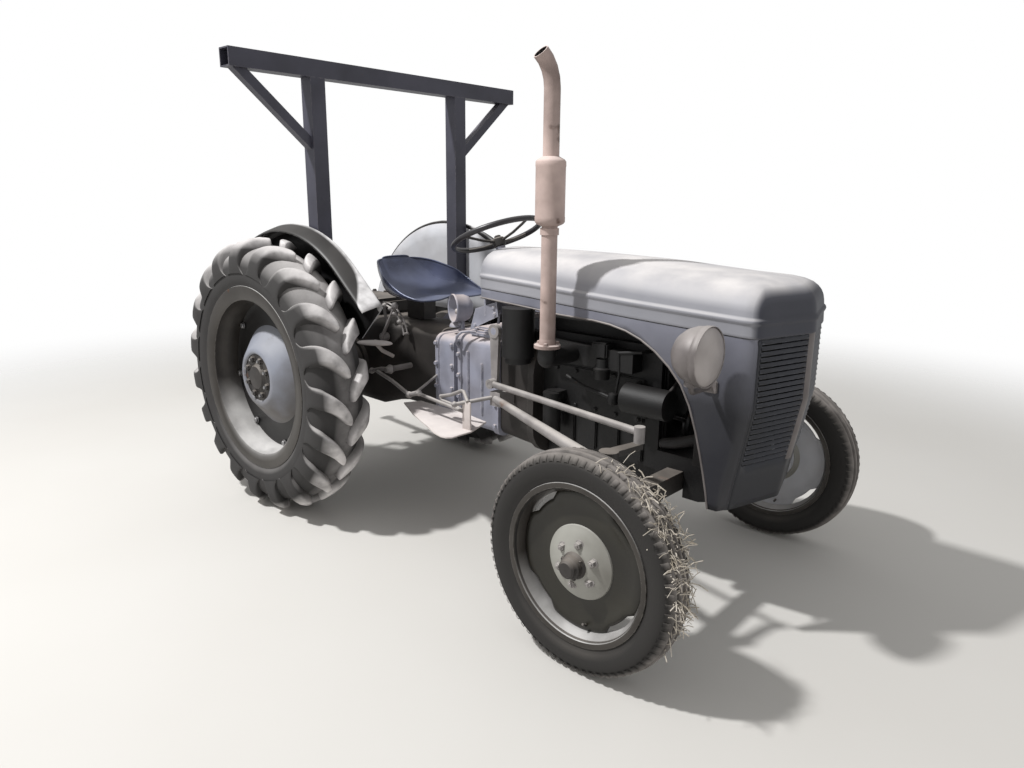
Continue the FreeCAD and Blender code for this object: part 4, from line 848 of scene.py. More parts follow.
# %% Front wheels
front_rim = Form()
outside = mirrored([(0.046, 0.2475), (0.0455, 0.2505), (0.042, 0.2515), (0.0408, 0.237), (0.03, 0.2325),
                    (0.014, 0.222)])
inner_side = mirrored([(-0.0445, 0.2345), (-0.032, 0.2295), (-0.015, 0.2185)])
front_rim.lathe(outside + inner_side, STEERED, segments=128, closed=True)
both_wheels(front_rim, "FrontRim", "front", "front_disc", finish="rear_rim", sharp=50)

pressed = Form()
DISC = [(0.01, 0.09), (0.008, 0.106), (0.002, 0.135), (0.0, 0.16), (0.005, 0.186), (0.008, 0.202),
        (0.006, 0.211)]
DISC_STEPS = 128
rows = []
for step in range(DISC_STEPS + 1):
    angle = 360 * step / DISC_STEPS
    closeness = max(0.0, math.cos(math.radians(4 * (angle - 45))))
    drawn_in = 0.02 * min(1.0, closeness * 1.5) ** 2
    row = []
    for place, radius in DISC:
        inset = drawn_in * max(0.0, (radius - 0.16) / 0.06)
        row.append(polar(STEERED, angle, radius - inset, STEERED[1] + place))
    rows.append(row + [polar(STEERED, angle, 0.2215 - drawn_in, STEERED[1] + 0.002)])
pressed.grid(rows)
both_wheels(pressed, "FrontDisc", "front", "front_disc", "front_wheel", solid=0.003, sharp=60)
# Painted light: the inner face of the same pressing is pale, as where the light falls on it.
inside = Form()
inside.grid([[point - Vector((0, 0.0045, 0)) for point in row] for row in rows])
inside.lathe([(-0.03, 0.03), (-0.03, 0.09), (0.004, 0.096)], STEERED, segments=64)
both_wheels(inside, "DiscInside", "front", "front_disc", finish="painted_lit_face", sharp=60)

# %% [markdown]
# In the middle of the front wheel sit a pressed boss, six nuts with washers and stud ends, and a
# turned cap with three small bolts. The valve stands out of the disc near its foot. They are separate
# pieces because each has its own finish.

# %% Boss, nuts and cap
boss = Form()
boss.lathe([(-0.012, 0.02), (-0.012, 0.1), (0.006, 0.116), (0.01, 0.114), (0.016, 0.1), (0.023, 0.084),
            (0.026, 0.07), (0.034, 0.056), (0.036, 0.04), (0.036, 0.02)], STEERED, segments=64)
both_wheels(boss, "FrontBoss", "front", "front_disc", finish="boss_paint")
nuts = Form()
for count in range(6):
    seat = polar(STEERED, 60 * count + 22, 0.065, STEERED[1] + 0.024)
    nuts.lathe([(-0.006, 0.0155), (0.002, 0.015), (0.004, 0.011)], seat, "y", 20)
    nuts.bolt(seat, "y", 0.021, 0.016)
    nuts.lathe([(0.014, 0.006), (0.021, 0.0055), (0.022, 0.0005)], seat, "y", 12)
both_wheels(nuts, "FrontNuts", "front", "front_disc", finish="rod_steel", sharp=35)
cap = Form()
cap.lathe([(0.034, 0.042), (0.038, 0.0415), (0.044, 0.036), (0.06, 0.034), (0.064, 0.03),
           (0.074, 0.028), (0.079, 0.022), (0.08, 0.001)], STEERED, segments=40)
for count in range(3):
    cap.bolt(polar(STEERED, 120 * count + 40, 0.037, STEERED[1] + 0.044), "y", 0.01, 0.007)
stem = polar(STEERED, -82, 0.202, STEERED[1])
cap.tube([stem + Vector(step) for step in ((0, -0.012, 0), (0, 0.014, 0.006), (0, 0.024, 0.014))],
         [0.0045, 0.0045, 0.0035])
both_wheels(cap, "FrontCap", "front", "front_disc", finish="axle_iron", sharp=35)

# %% [markdown]
# ## Bonnet
# The bonnet is one pressed shell: a top that crowns gently and rolls over into the nose, and side
# panels that sweep down in an arch and close round the grille. Both are made from the same plan,
# the line of the seam seen from above. At each point of the plan a column of points goes up to
# the middle of the top, or down to the edge of the arch.

# %% Plan of the seam
WIDTHS = [(0.902, 0.2), (1.206, 0.218), (1.338, 0.238), (1.62, 0.2585), (1.75, 0.26)]
SHOULDERS = [0.902, 0.96, 1.06, 1.18, 1.329, 1.4, 1.49, 1.56, 1.626, 1.685, 1.741, 1.795, 1.841, 1.875,
             1.904, 1.922, 1.94, 1.952, 1.961]
NOSE = [(2.0, 0.26), (2.03, 0.2598), (2.05, 0.2565), (2.064, 0.248), (2.073, 0.237), (2.078, 0.224),
        (2.086, 0.196), (2.096, 0.156), (2.107, 0.116), (2.118, 0.076), (2.129, 0.036), (2.1335, 0.02),
        (2.136, 0.008)]
PLAN = [(x, along_table(WIDTHS, x)) for x in SHOULDERS] + NOSE
plan = [(REAR + x, -y) for x, y in PLAN] + [(REAR + 2.1365, 0.0)] + [(REAR + x, y) for x, y in reversed(PLAN)]
CROWN = [(0.902, 1.189), (1.26, 1.187), (1.6, 1.177), (1.9, 1.157), (2.0, 1.148)]
LINE = [(0.902, 1.034), (1.206, 1.022), (1.62, 1.006), (1.85, 0.997), (2.14, 0.986)]


def seam(index):
    """The height of the seam at a point of the plan: it falls gently toward the nose."""
    return along_table(LINE, plan[index][0] - REAR)


def outward(index):
    """The level direction that points out of the bonnet at a point of the plan."""
    before = Vector((*plan[max(index - 1, 0)], 0))
    after = Vector((*plan[min(index + 1, len(plan) - 1)], 0))
    way = (after - before).normalized()
    return Vector((way.y, -way.x, 0))


print("points on the plan:", len(plan))

# %% [markdown]
# The columns of the top start with the pressed bead along the seam, and then rise over the rolled
# edge to the middle line. The rise is given as a share of the way in and a share of the height, so
# one short table gives the crown at every place.

# %% Bonnet top
BEAD = [(-0.006, 0.001), (0.002, 0.0012), (0.0036, 0.0035), (0.0036, 0.01), (0.0022, 0.034),
        (0.003, 0.04), (0.0068, 0.0445), (0.0078, 0.05), (0.006, 0.0555), (0.0012, 0.059), (0.0, 0.064)]
RISE = [(0.006, 0.22), (0.022, 0.36), (0.055, 0.5), (0.11, 0.63), (0.19, 0.75), (0.3, 0.845),
        (0.45, 0.92), (0.63, 0.967), (0.82, 0.992), (1.0, 1.0)]
top = Form()
columns = []
for index, (x, y) in enumerate(plan):
    seat = Vector((x, y, 0))
    spine_x = min(x - REAR, 1.88 + (x - REAR - 1.88) * 0.3)
    spine = Vector((REAR + spine_x, 0, 0))
    crown = along_table(CROWN, spine_x)
    foot = seam(index) + 0.05
    column = [seat + outward(index) * out + Vector((0, 0, seam(index) + rise)) for out, rise in BEAD]
    for share, height in RISE:
        column.append(seat.lerp(spine, share) + Vector((0, 0, between(foot, crown, height))))
    columns.append(column)
top.grid(columns)
top.done("BonnetTop", "bonnet", "bonnet_paint", stands_for=("hood_top",), solid=0.003, sharp=60)

# %% [markdown]
# ## Side panels and grille
# The side panels end at the arch over the engine, with a rolled edge. The nose is open behind the
# grille, and each of its louvres is a pressed strip that follows the plan, with a lip that leans
# out over the slot below it. A plain rib without a badge stands in the middle.

# %% Side panels
CHIN = 0.437
WAIST = 0.777
CHIN_DROP = 0.34  # from the waist down to the chin
NOSE_START = 1.962  # measured from the rear axle; behind it the panels end at the arch
ARCH = [(0.902, 0.998), (1.18, 0.985), (1.329, 0.98), (1.49, 0.979), (1.56, 0.974), (1.626, 0.962),
        (1.685, 0.941), (1.741, 0.91), (1.795, 0.868), (1.841, 0.818), (1.875, 0.756), (1.904, 0.675),
        (1.922, 0.612), (1.94, 0.541), (1.952, 0.488), (1.961, CHIN)]
LOUVRES = 23
GRILLE = (0.587, 0.985)
LEVELS = [GRILLE[1], 0.96, 0.92, 0.87, 0.82, WAIST, 0.73, 0.68, 0.63, GRILLE[0], 0.55, 0.5, 0.46, CHIN]


def tucked(index, z):
    """A point of the outer skin: below the waist the nose stands back toward the chin."""
    x, y = plan[index]
    ahead = min(1.0, max(0.0, (x - REAR - 1.99) / 0.07))
    below = max(0.0, (WAIST - z) / CHIN_DROP)
    back = 0.06 * ahead * below + 0.002 * ahead
    inward = 1 - 0.05 * below * ahead
    return Vector((x - back, y * inward, z))


skin = Form()
columns = []
for index, (x, y) in enumerate(plan):
    ahead = x - REAR
    line = seam(index) - 0.001
    levels = [between(line, min(GRILLE[1], line - 0.004), share) for share in (0, 0.3, 0.7)] + LEVELS
    if ahead < NOSE_START:
        foot = along_table(ARCH, ahead)
        levels = [min(line, max(z, foot)) for z in levels]
    groove = tucked(index, line) - outward(index) * 0.007
    columns.append([groove] + [tucked(index, z) for z in levels])
# The nose is split from the side panels for its darker finish, which paints the shade of the front.
corner = next(index for index, (x, y) in enumerate(plan) if x - REAR > 2.0725)
nose = Form()
skin.grid(columns[:corner + 1])
skin.grid(columns[-corner - 1:])
nose.grid(columns[corner:len(columns) - corner])
open_faces = []
for face in nose.mesh.faces:
    middle = face.calc_center_median()
    if GRILLE[0] < middle.z < GRILLE[1] and 0.02 < abs(middle.y) < 0.224:
        open_faces.append(face)
bmesh.ops.delete(nose.mesh, geom=open_faces, context="FACES")
for form in (skin, nose):
    bmesh.ops.dissolve_degenerate(form.mesh, dist=1e-4, edges=form.mesh.edges[:])
skin.done("SidePanels", "bonnet", "nose_paint", finish="panel_paint", stands_for=("nose_panel",),
          solid=0.003, sharp=50)
nose.done("NosePanel", "bonnet", "nose_paint", solid=0.003, sharp=50)

# %% [markdown]
# Real louvres are pressed out of the sheet. Here each is a strip with one short profile, carried
# along the plan on both sides of the middle rib, which gives the same slots and lips without cutting
# the sheet.

# %% Louvres
louvres = Form()
LOUVRE = ((-0.004, 0.0062), (-0.0005, 0.0072), (0.0028, 0.002), (0.0048, -0.0035), (0.0035, -0.0045),
          (0.0, -0.001), (-0.007, 0.003))
pitch = (GRILLE[1] - GRILLE[0]) / LOUVRES
for hand in (-1, 1):
    across = [index for index, (x, y) in enumerate(plan) if 0.019 < y * hand < 0.2245 and x - REAR > 2.07]
    for count in range(LOUVRES):
        z = GRILLE[0] + pitch * (count + 0.5)
        rows = []
        for index in across:
            seat, out = tucked(index, z), outward(index)
            ends = 0.2 if index in (across[0], across[-1]) else 1.0
            rows.append([seat + out * (step * ends) + Vector((0, 0, rise)) for step, rise in LOUVRE])
        louvres.grid(rows, closed_across=True)
louvres.done("Louvres", "bonnet", "nose_paint", sharp=50)

# %% [markdown]
# A plain rounded rib stands in the middle of the grille, and a thin roll edges the arch of each
# panel. The rib is a grid of one cross section repeated from the chin up, and the roll is a tube.

# %% Middle rib and rolled edges
trim = Form()
middle = plan.index((REAR + 2.1365, 0.0))
RIB = ((-0.02, 0.006), (-0.017, 0.013), (-0.009, 0.0165), (0, 0.0175), (0.009, 0.0165), (0.017, 0.013),
       (0.02, 0.006))
levels = [0.575 + 0.021 * step for step in range(21)]
trim.grid([[tucked(middle, z) + Vector((-0.012, side, 0)) + Vector((bulge, 0, 0)) for side, bulge in RIB]
           for z in levels])
for hand in (-1, 1):
    edge = [at(x, hand * (y + 0.0005), along_table(ARCH, x)) for x, y in PLAN if x < NOSE_START]
    trim.tube(edge, 0.0035, 8)
trim.done("PanelEdges", "bonnet", "nose_paint", finish="lamp_shell", sharp=60)

# %% [markdown]
# ## Headlamp
# One lamp is left, on a short stalk beside the right panel. Its shell is a deep rounded bowl with
# a seam, and a rim that holds a dusty glass.

# %% Headlamp
LAMP = (REAR + 2.002, -0.398, 0.95)
shell = Form()
shell.lathe([(0.0, 0.0855), (0.0035, 0.088), (-0.004, 0.0895), (-0.016, 0.0885), (-0.018, 0.0865),
             (-0.02, 0.087), (-0.04, 0.0845), (-0.066, 0.0745), (-0.088, 0.057), (-0.103, 0.034),
             (-0.11, 0.014), (-0.1115, 0.0005)], LAMP, "x", 72)
STALK = (  # back from the lamp's rim, across, height
    (0.05, -0.398, 0.88), (0.05, -0.398, 0.852), (0.052, -0.39, 0.84), (0.056, -0.37, 0.834),
    (0.06, -0.3, 0.832), (0.06, -0.262, 0.832))
shell.tube([(LAMP[0] - back, y, z) for back, y, z in STALK], 0.009)
shell.lathe([(-0.012, 0.016), (-0.01, 0.021), (0.01, 0.021), (0.014, 0.014)],
            (LAMP[0] - 0.05, -0.398, 0.868), "z", 24)
shell.block((LAMP[0] - 0.085, -0.268, 0.812), (LAMP[0] - 0.035, -0.26, 0.852), 0.003)
shell.bolt((LAMP[0] - 0.075, -0.268, 0.832), (0, -1, 0), 0.014, 0.008)
shell.done("LampShell", "bonnet", "lamp_shell", stands_for=("headlamp",), sharp=45)
glass = Form()
glass.lathe([(-0.002, 0.0858), (0.0035, 0.08), (0.0085, 0.06), (0.011, 0.035), (0.012, 0.0005)], LAMP,
            "x", 72)
glass.done("LampGlass", "bonnet", "lamp_shell", finish="lens_bulb", sharp=60)

# %% [markdown]
# ## Exhaust
# The stack stands on its elbow beside the bonnet, with a can-shaped muffler half way up and a cut
# bend at the top. The bend is swept along a few points and left open, so that the eye looks into
# the dark pipe.

# %% Exhaust
STACK = Vector((REAR + 1.362, -0.34, 0))
pipe = Form()
path = [STACK + Vector(step) for step in (
    (0, 0, 0.885), (0, 0, 1.3), (0, 0, 1.5), (0, 0, 1.72), (-0.001, -0.003, 1.75),
    (-0.004, -0.011, 1.778), (-0.008, -0.025, 1.803), (-0.014, -0.044, 1.824))]
outer = pipe.tube(path, 0.027, 28, capped=False)
bore = Form()
inner = bore.tube(path[3:], 0.0235, 28, capped=False)
bore.cap(inner[0])
bore.done("PipeBore", "chassis", "exhaust_steel", finish="dark_recess")
lining = pipe.tube(path[-2:], 0.0236, 28, capped=False)
pipe.grid([[corner.co.copy() for corner in ring] for ring in (outer[-1], lining[-1])], closed_across=True)
pipe.lathe([(1.29, 0.027), (1.297, 0.044), (1.304, 0.05), (1.318, 0.0505), (1.322, 0.0495),
            (1.478, 0.0495), (1.482, 0.0505), (1.496, 0.05), (1.503, 0.044), (1.512, 0.027)],
           STACK, "z", 48)
pipe.lathe([(0.88, 0.012), (0.88, 0.046), (0.891, 0.046), (0.893, 0.03), (0.905, 0.0285), (0.912, 0.027)],
           STACK, "z", 40)
pipe.lathe([(1.262, 0.027), (1.262, 0.0315), (1.284, 0.0315), (1.284, 0.027)], STACK, "z", 32)
for angle in (60, 180, 300):
    turn = math.radians(angle)
    seat = STACK + Vector((0.036 * math.cos(turn), 0.036 * math.sin(turn), 0.891))
    pipe.bolt(seat, "z", 0.014, 0.01)
pipe.done("ExhaustPipe", "chassis", "exhaust_steel", stands_for=("exhaust_stack",), sharp=40)

# %% [markdown]
# ## Fenders
# Each fender is a flat plate inside the tyre with a curved crown that reaches over it. The crown
# follows the tyre as an arc and then runs straight down in front. The sheet turns over in a small
# radius at the top and has a folded lip outside.

# %% Fenders
wing = Form()
CROWN_RADIUS = 0.657
FENDER_PLANE = 0.4475
stations = [(math.radians(160 - 110 * step / 40), 0.0) for step in range(41)]
stations += [(math.radians(50), 0.23 * step / 8) for step in range(1, 9)]


def crown_place(angle, run, lift, y):
    """A point of the crown: an angle about the axle, then a run straight on, lifted off the arc."""
    radius = CROWN_RADIUS + lift
    x = REAR + radius * math.cos(angle) + run * math.sin(angle)
    return Vector((x, y, WHEEL[2] + radius * math.sin(angle) - run * math.cos(angle)))


FOLD = [(0.4475, -0.04), (0.4475, -0.012), (0.449, -0.005), (0.4535, -0.0008), (0.4585, 0.0),
        (0.465, -0.0022), (0.48, -0.007), (0.505, -0.0155), (0.525, -0.0235), (0.5345, -0.0285),
        (0.5365, -0.034)]
wing.grid([[crown_place(angle, run, lift, y) for y, lift in FOLD] for angle, run in stations])
wing.twin().done("FenderCrown", "chassis", "fender_paint", stands_for=("fenders",), solid=0.0025, sharp=50)
# %% [markdown]
# The inner plate of a fender fills the space between its level foot and the edge of the crown. Its
# outer face is nearly black as painted shade and its inner one pale as painted light, so each face is
# a sheet of its own.

# %% Inner plates
plate = Form()
edge = [crown_place(angle, run, -0.016, FENDER_PLANE) for angle, run in stations]
feet = []
for index, point in enumerate(edge):
    share = index / (len(edge) - 1)
    foot_x = between(-0.565, 0.47, share)
    foot_z = min(0.8 + max(0.0, foot_x - 0.26) * 0.03, point.z)
    feet.append(at(min(foot_x, 0.445), FENDER_PLANE, foot_z))
rows = [[foot.lerp(point, part / 6) for part in range(7)] for foot, point in zip(feet, edge)]
plate.grid(rows)
# Painted shade: the outer face takes the near-black iron finish.
plate.twin().done("FenderPlate", "chassis", "fender_paint", finish="engine_iron", solid=0.002, sharp=50)
# Painted light: the inner face is pale, as where the light falls on it.
inner_face = Form()
inner_face.grid([[point - Vector((0, 0.0045, 0)) for point in row] for row in rows])
inner_face.twin().done("FenderInside", "chassis", "fender_paint", finish="painted_lit_face", solid=0.002, sharp=50)

# %% [markdown]
# ## Seat
# The seat is a bare pressed pan, glossy blue-black, deep in the middle and high behind. Its
# sections come from a table, and the rim is rolled over a wire.

# %% Seat pan
PAN = [  # ahead of the rear axle, half width, rim height, bottom height
    (0.125, 0.08, 1.094, 1.106), (0.136, 0.104, 1.094, 1.086), (0.15, 0.124, 1.092, 1.058),
    (0.174, 0.146, 1.088, 1.02), (0.21, 0.17, 1.08, 0.982), (0.25, 0.189, 1.066, 0.952),
    (0.3, 0.222, 1.045, 0.938), (0.3275, 0.229, 1.03, 0.935), (0.4, 0.234, 0.992, 0.936),
    (0.455, 0.23, 0.968, 0.939), (0.5, 0.222, 0.956, 0.941), (0.53, 0.212, 0.951, 0.941)]
pan = Form()
rows = []
for ahead, half, rim_z, low_z in PAN:
    row = []
    for step in range(-12, 13):
        share = step / 12
        lift = abs(share) ** 3.2
        ridge = 0.014 * math.exp(-(share / 0.16) ** 2) * min(1.0, max(0.0, (ahead - 0.33) / 0.15))
        row.append(at(ahead, half * math.sin(share * math.pi / 2), between(low_z, rim_z, lift) + ridge))
    rows.append(row)
pan.grid(rows)
pan.done("SaddlePan", "chassis", "seat_paint", stands_for=("seat_pan",), solid=0.004, round_off=2, sharp=80)
lip = Form()
border = [row[0] for row in rows] + rows[-1][1:-1] + [row[-1] for row in reversed(rows)] + rows[0][-2:0:-1]
lip.tube(border + border[:1], 0.0045, 8, capped=False)
lip.done("SaddleRim", "chassis", "seat_paint", round_off=1, sharp=80)

# %% [markdown]
# ## Steering wheel
# A thin black rim on four steel spokes that fall back to the hub, with a nut in the middle.

# %% Steering wheel
RIM = Vector((REAR + 0.795, 0, 1.23))
lean = Matrix.Rotation(math.radians(-23), 3, "Y")
ring = Form()
circle = [RIM + lean @ Vector((0.187 * math.cos(turn), 0.187 * math.sin(turn), 0)) for turn in turns(72)]
ring.tube(circle + circle[:1], 0.0115, 14, capped=False)
ring.done("WheelGrip", "steering_wheel", "grip_black", stands_for=("steering_wheel",), sharp=70)
spokes = Form()
for count in range(4):
    turn = math.pi / 2 * count
    way = Vector((math.cos(turn), math.sin(turn), 0))
    spoke = ((0.02, -0.03), (0.09, -0.022), (0.15, -0.009), (0.183, 0))
    spokes.tube([RIM + lean @ (way * out + Vector((0, 0, rise))) for out, rise in spoke], 0.0055, 10)
spokes.lathe([(-0.05, 0.018), (-0.048, 0.026), (-0.036, 0.029), (-0.02, 0.029), (-0.014, 0.022),
              (-0.012, 0.001)], RIM, lean @ Vector((0, 0, 1)), 32)
spokes.bolt(RIM + lean @ Vector((0, 0, -0.015)), lean @ Vector((0, 0, 1)), 0.024, 0.012)
spokes.done("WheelSpokes", "steering_wheel", "grip_black", finish="axle_iron")

# %% [markdown]
# ## Castings behind the engine
# The gearbox and the rear housing are cast in pieces with a waist between them, so that a dark gap
# shows where they bolt together. Each is lofted through rounded rectangles from a short table, and
# what the photograph shows on it is set on afterwards: covers, bolts, a breather pipe, the filler
# and the selector on its ball.

# %% Castings
def casting(form, stations):
    """A casting lofted along x through rounded rectangles."""
    rows = []
    for x, half, low, high, corner in stations:
        out, upper, lower = half - corner, high - corner, low + corner
        ring = []
        for quarter, (y, z) in enumerate(((out, upper), (-out, upper), (-out, lower), (out, lower))):
            for step in range(6):
                turn = math.radians(90 * quarter + 18 * step)
                ring.append(at(x, y + corner * math.cos(turn), z + corner * math.sin(turn)))
        rows.append(ring)
    made = form.grid(rows, closed_across=True)
    form.cap(made[0][::-1])
    form.cap(made[-1])


gearbox = Form()
casting(gearbox, [  # place, half width, bottom, top, corner
    (0.702, 0.135, 0.449, 0.806, 0.03), (0.721, 0.135, 0.449, 0.806, 0.03), (0.722, 0.15, 0.44, 0.815, 0.035),
    (0.726, 0.165, 0.427, 0.826, 0.04), (0.744, 0.166, 0.426, 0.828, 0.04),
    (0.748, 0.158, 0.432, 0.822, 0.04), (0.93, 0.16, 0.43, 0.826, 0.04),
    (0.936, 0.168, 0.425, 0.832, 0.04), (0.966, 0.168, 0.425, 0.832, 0.04)])
bell = Form()
casting(bell, [
    (0.967, 0.153, 0.432, 0.826, 0.044), (0.99, 0.16, 0.428, 0.83, 0.06), (1.08, 0.174, 0.415, 0.838, 0.09),
    (1.148, 0.188, 0.407, 0.844, 0.116), (1.152, 0.2, 0.4, 0.85, 0.12), (1.18, 0.2, 0.4, 0.85, 0.12)])
for low, high in (((0.77, -0.14, 0.82), (0.965, 0.14, 0.846)), ((0.79, -0.118, 0.842), (0.95, 0.118, 0.86))):
    gearbox.block(at(*low), at(*high), 0.008)
for hand in (-1, 1):
    for x in (0.735, 0.95):
        for z in (0.47, 0.56, 0.65, 0.74, 0.8):
            gearbox.bolt(at(x, hand * 0.166, z), (0, hand, 0), 0.017, 0.011)
    for x in (0.8, 0.86, 0.92):
        gearbox.bolt(at(x, hand * 0.127, 0.846), "z", 0.015, 0.01)
    for turn in range(-60, 61, 24):
        angle = math.radians(turn)
        seat = at(1.152, hand * (0.08 + 0.104 * math.cos(angle)), 0.625 + 0.19 * math.sin(angle))
        bell.bolt(seat, (-1, 0, 0), 0.016, 0.01)
    for start, end, upper in ((0.775, 0.79, 0.76), (0.86, 0.872, 0.72)):
        gearbox.block(at(start, hand * 0.16 - 0.006, 0.5), at(end, hand * 0.16 + 0.006, upper), 0.003)
gearbox.lathe([(0.838, 0.034), (0.85, 0.03), (0.856, 0.022), (0.866, 0.019), (0.876, 0.012),
               (0.88, 0.001)], at(0.64, -0.085, 0), "z", 24)
gearbox.rod([(0.742, -0.17, 0.77), (0.742, -0.188, 0.792), (0.752, -0.193, 0.822),
              (0.775, -0.186, 0.842), (0.802, -0.17, 0.846), (0.822, -0.15, 0.842)], 0.0055)
gearbox.lathe(mirrored([(-0.016, 0.002), (-0.012, 0.011), (0.0, 0.0165)]), at(0.946, -0.15, 0.846), "z", 20)
gearbox.rod([(0.946, -0.15, 0.85), (0.948, -0.15, 0.88), (0.953, -0.151, 0.918), (0.956, -0.151, 0.945)],
            [0.0075, 0.006, 0.0055, 0.0055])
# Oil and painted shade: the clutch housing takes the dark iron finish, for the shade under the bonnet.
bell.done("ClutchHousing", "chassis", "casting_paint", finish="axle_iron", sharp=40)
gearbox.done("GearboxCasting", "chassis", "casting_paint", stands_for=("gearbox",), sharp=40)

# %% [markdown]
# The rear housing reaches back under the seat and carries the lift cover. A shorter casting with
# flanges and bolts of its own joins it to the gearbox.

# %% Rear housing
housing = Form()
casting(housing, [
    (-0.23, 0.165, 0.43, 0.824, 0.04), (-0.222, 0.17, 0.425, 0.83, 0.04),
    (0.19, 0.17, 0.42, 0.83, 0.04), (0.26, 0.14, 0.44, 0.826, 0.05), (0.32, 0.13, 0.449, 0.824, 0.05),
    (0.56, 0.128, 0.449, 0.822, 0.05), (0.578, 0.132, 0.447, 0.82, 0.045)])
case = Form()
casting(case, [
    (0.578, 0.132, 0.447, 0.812, 0.045), (0.58, 0.16, 0.43, 0.808, 0.04),
    (0.6, 0.163, 0.428, 0.808, 0.04), (0.604, 0.157, 0.434, 0.804, 0.04),
    (0.672, 0.157, 0.434, 0.804, 0.04), (0.676, 0.163, 0.428, 0.808, 0.04),
    (0.7, 0.163, 0.428, 0.808, 0.04)])
housing.block(at(-0.21, -0.12, 0.826), at(0.12, 0.12, 0.905), 0.016)
for hand in (-1, 1):
    for x in (0.59, 0.688):
        for z in (0.48, 0.58, 0.68, 0.77):
            case.bolt(at(x, hand * 0.162, z), (0, hand, 0), 0.017, 0.011)
    for x in (-0.18, -0.09, 0.0, 0.09):
        housing.bolt(at(x, hand * 0.1, 0.904), "z", 0.017, 0.01)
case.done("CentreCasting", "chassis", "casting_paint", sharp=40)
# Oil and painted shade: the rear housing takes the dark iron finish, for the shade under the seat.
housing.done("RearCasting", "chassis", "casting_paint", finish="axle_iron", stands_for=("rear_housing",),
             sharp=40)

# %% [markdown]
# Between the seat and the right tyre stands the hand lever of the lift with its two curved rails.
# The rails are tubes through points of an arc about the lever's pivot.

# %% Lift quadrant
LIFT_PIVOT = at(0.235, 0, 0.75)
quadrant = Form()
for y, radius in ((-0.158, 0.16), (-0.172, 0.152)):
    quadrant.tube([polar(LIFT_PIVOT, 12 + 82 * step / 16, radius, y) for step in range(17)], 0.0042, 8)
for angle in (12, 94):
    quadrant.tube([polar(LIFT_PIVOT, angle, 0.156, y) for y in (-0.15, -0.178)], 0.006, 10)
quadrant.tube([polar(LIFT_PIVOT, 94, 0.156, -0.16), at(0.226, -0.15, 0.85), at(0.226, -0.14, 0.8)], 0.007, 10)
quadrant.rod([(0.235, -0.15, 0.75), (0.235, -0.182, 0.75)], 0.019, 20)
quadrant.rod([(0.235, -0.18, 0.75), (0.292, -0.184, 0.832), (0.336, -0.186, 0.898)], [0.008, 0.0065, 0.006])
quadrant.lathe([(-0.018, 0.001), (-0.014, 0.01), (-0.004, 0.016), (0.006, 0.0155), (0.014, 0.009),
                (0.017, 0.001)], at(0.342, -0.186, 0.906), (0.55, 0, 0.83), 20)
for angle, size in ((34, 0.013), (52, 0.015), (66, 0.011), (82, 0.013)):
    quadrant.knob(polar(LIFT_PIVOT, angle, 0.15, -0.176), size)
quadrant.done("LiftQuadrant", "chassis", "rod_steel", sharp=45)

# %% [markdown]
# The foot pad is an oval plate, a little tilted, on a bent stalk. Its rings grow from the middle of
# the top to the rim and shrink again below, so one grid closes the whole plate.

# %% Foot pad
pads = Form()
PAD_MIDDLE = (0.285, -0.262, 0.742)
PAD_LENGTH, PAD_WIDTH = 0.112, 0.052
rows = []
for size, rise in ((0.02, 0.006), (0.7, 0.0055), (0.93, 0.003), (1.0, -0.002), (0.97, -0.006),
                   (0.5, -0.0075), (0.02, -0.0075)):
    rows.append([at(PAD_MIDDLE[0] + PAD_LENGTH * math.cos(turn) * size,
                    PAD_MIDDLE[1] + PAD_WIDTH * math.sin(turn) * size,
                    PAD_MIDDLE[2] + rise + 0.07 * PAD_LENGTH * math.cos(turn)) for turn in turns(40)])
pads.grid(rows, closed_across=True)
pads.rod([(0.285, -0.255, 0.736), (0.292, -0.225, 0.7), (0.3, -0.17, 0.668)], 0.009, 12)
pads.done("FootPad", "chassis", "rod_steel", finish="dusty_plate", sharp=50)

# %% [markdown]
# The wings beside the instrument plate are flat outlines of six corners with a thickness of 4 mm and
# three small bolts each.

# %% Dash wings
wings = Form()
WING = ((0.971, 0.985), (0.979, 0.929), (0.867, 0.878), (0.821, 0.856), (0.838, 0.905), (0.852, 0.947))
for hand in (-1, 1):
    made = wings.grid([[at(x, hand * y, z) for x, z in WING] for y in (0.18, 0.184)], closed_across=True)
    wings.cap(made[0])
    wings.cap(made[1][::-1])
    for x, z in ((0.955, 0.96), (0.96, 0.935), (0.85, 0.88)):
        wings.bolt(at(x, hand * 0.184, z), (0, hand, 0), 0.012, 0.006)
wings.done("DashWings", "chassis", "casting_paint", sharp=30)

# %% [markdown]
# ## Work lamp
# The lamp in front of the seat is an open bowl without glass that looks to the right and a little
# back. Its bulb still sits in it.

# %% Work lamp
MOUTH = at(0.663, -0.13, 0.923)
INTO = Vector((0.4, 0.917, 0))
FOOT = MOUTH + INTO * 0.042
bowl = Form()
bowl.lathe([(0.07, 0.001), (0.068, 0.026), (0.058, 0.044), (0.04, 0.0535), (0.0, 0.055),
            (-0.003, 0.059), (0.0, 0.061), (0.006, 0.0605), (0.009, 0.0575), (0.048, 0.057),
            (0.068, 0.049), (0.08, 0.033), (0.086, 0.016), (0.087, 0.001)], MOUTH, INTO, 56)
bowl.tube([FOOT + Vector((0, 0, -0.054)), FOOT + Vector((0, 0, -0.098))], 0.01, 14)
bowl.lathe([(0, 0.018), (0.004, 0.018), (0.006, 0.012)], FOOT + Vector((0, 0, -0.098)), "z", 20)
bowl.bolt(FOOT + Vector((0, -0.016, -0.066)), (0, -1, 0), 0.012, 0.008)
bowl.done("WorkLamp", "chassis", "lamp_shell", finish="casting_paint", stands_for=("work_lamp",), sharp=50)
bulb = Form()
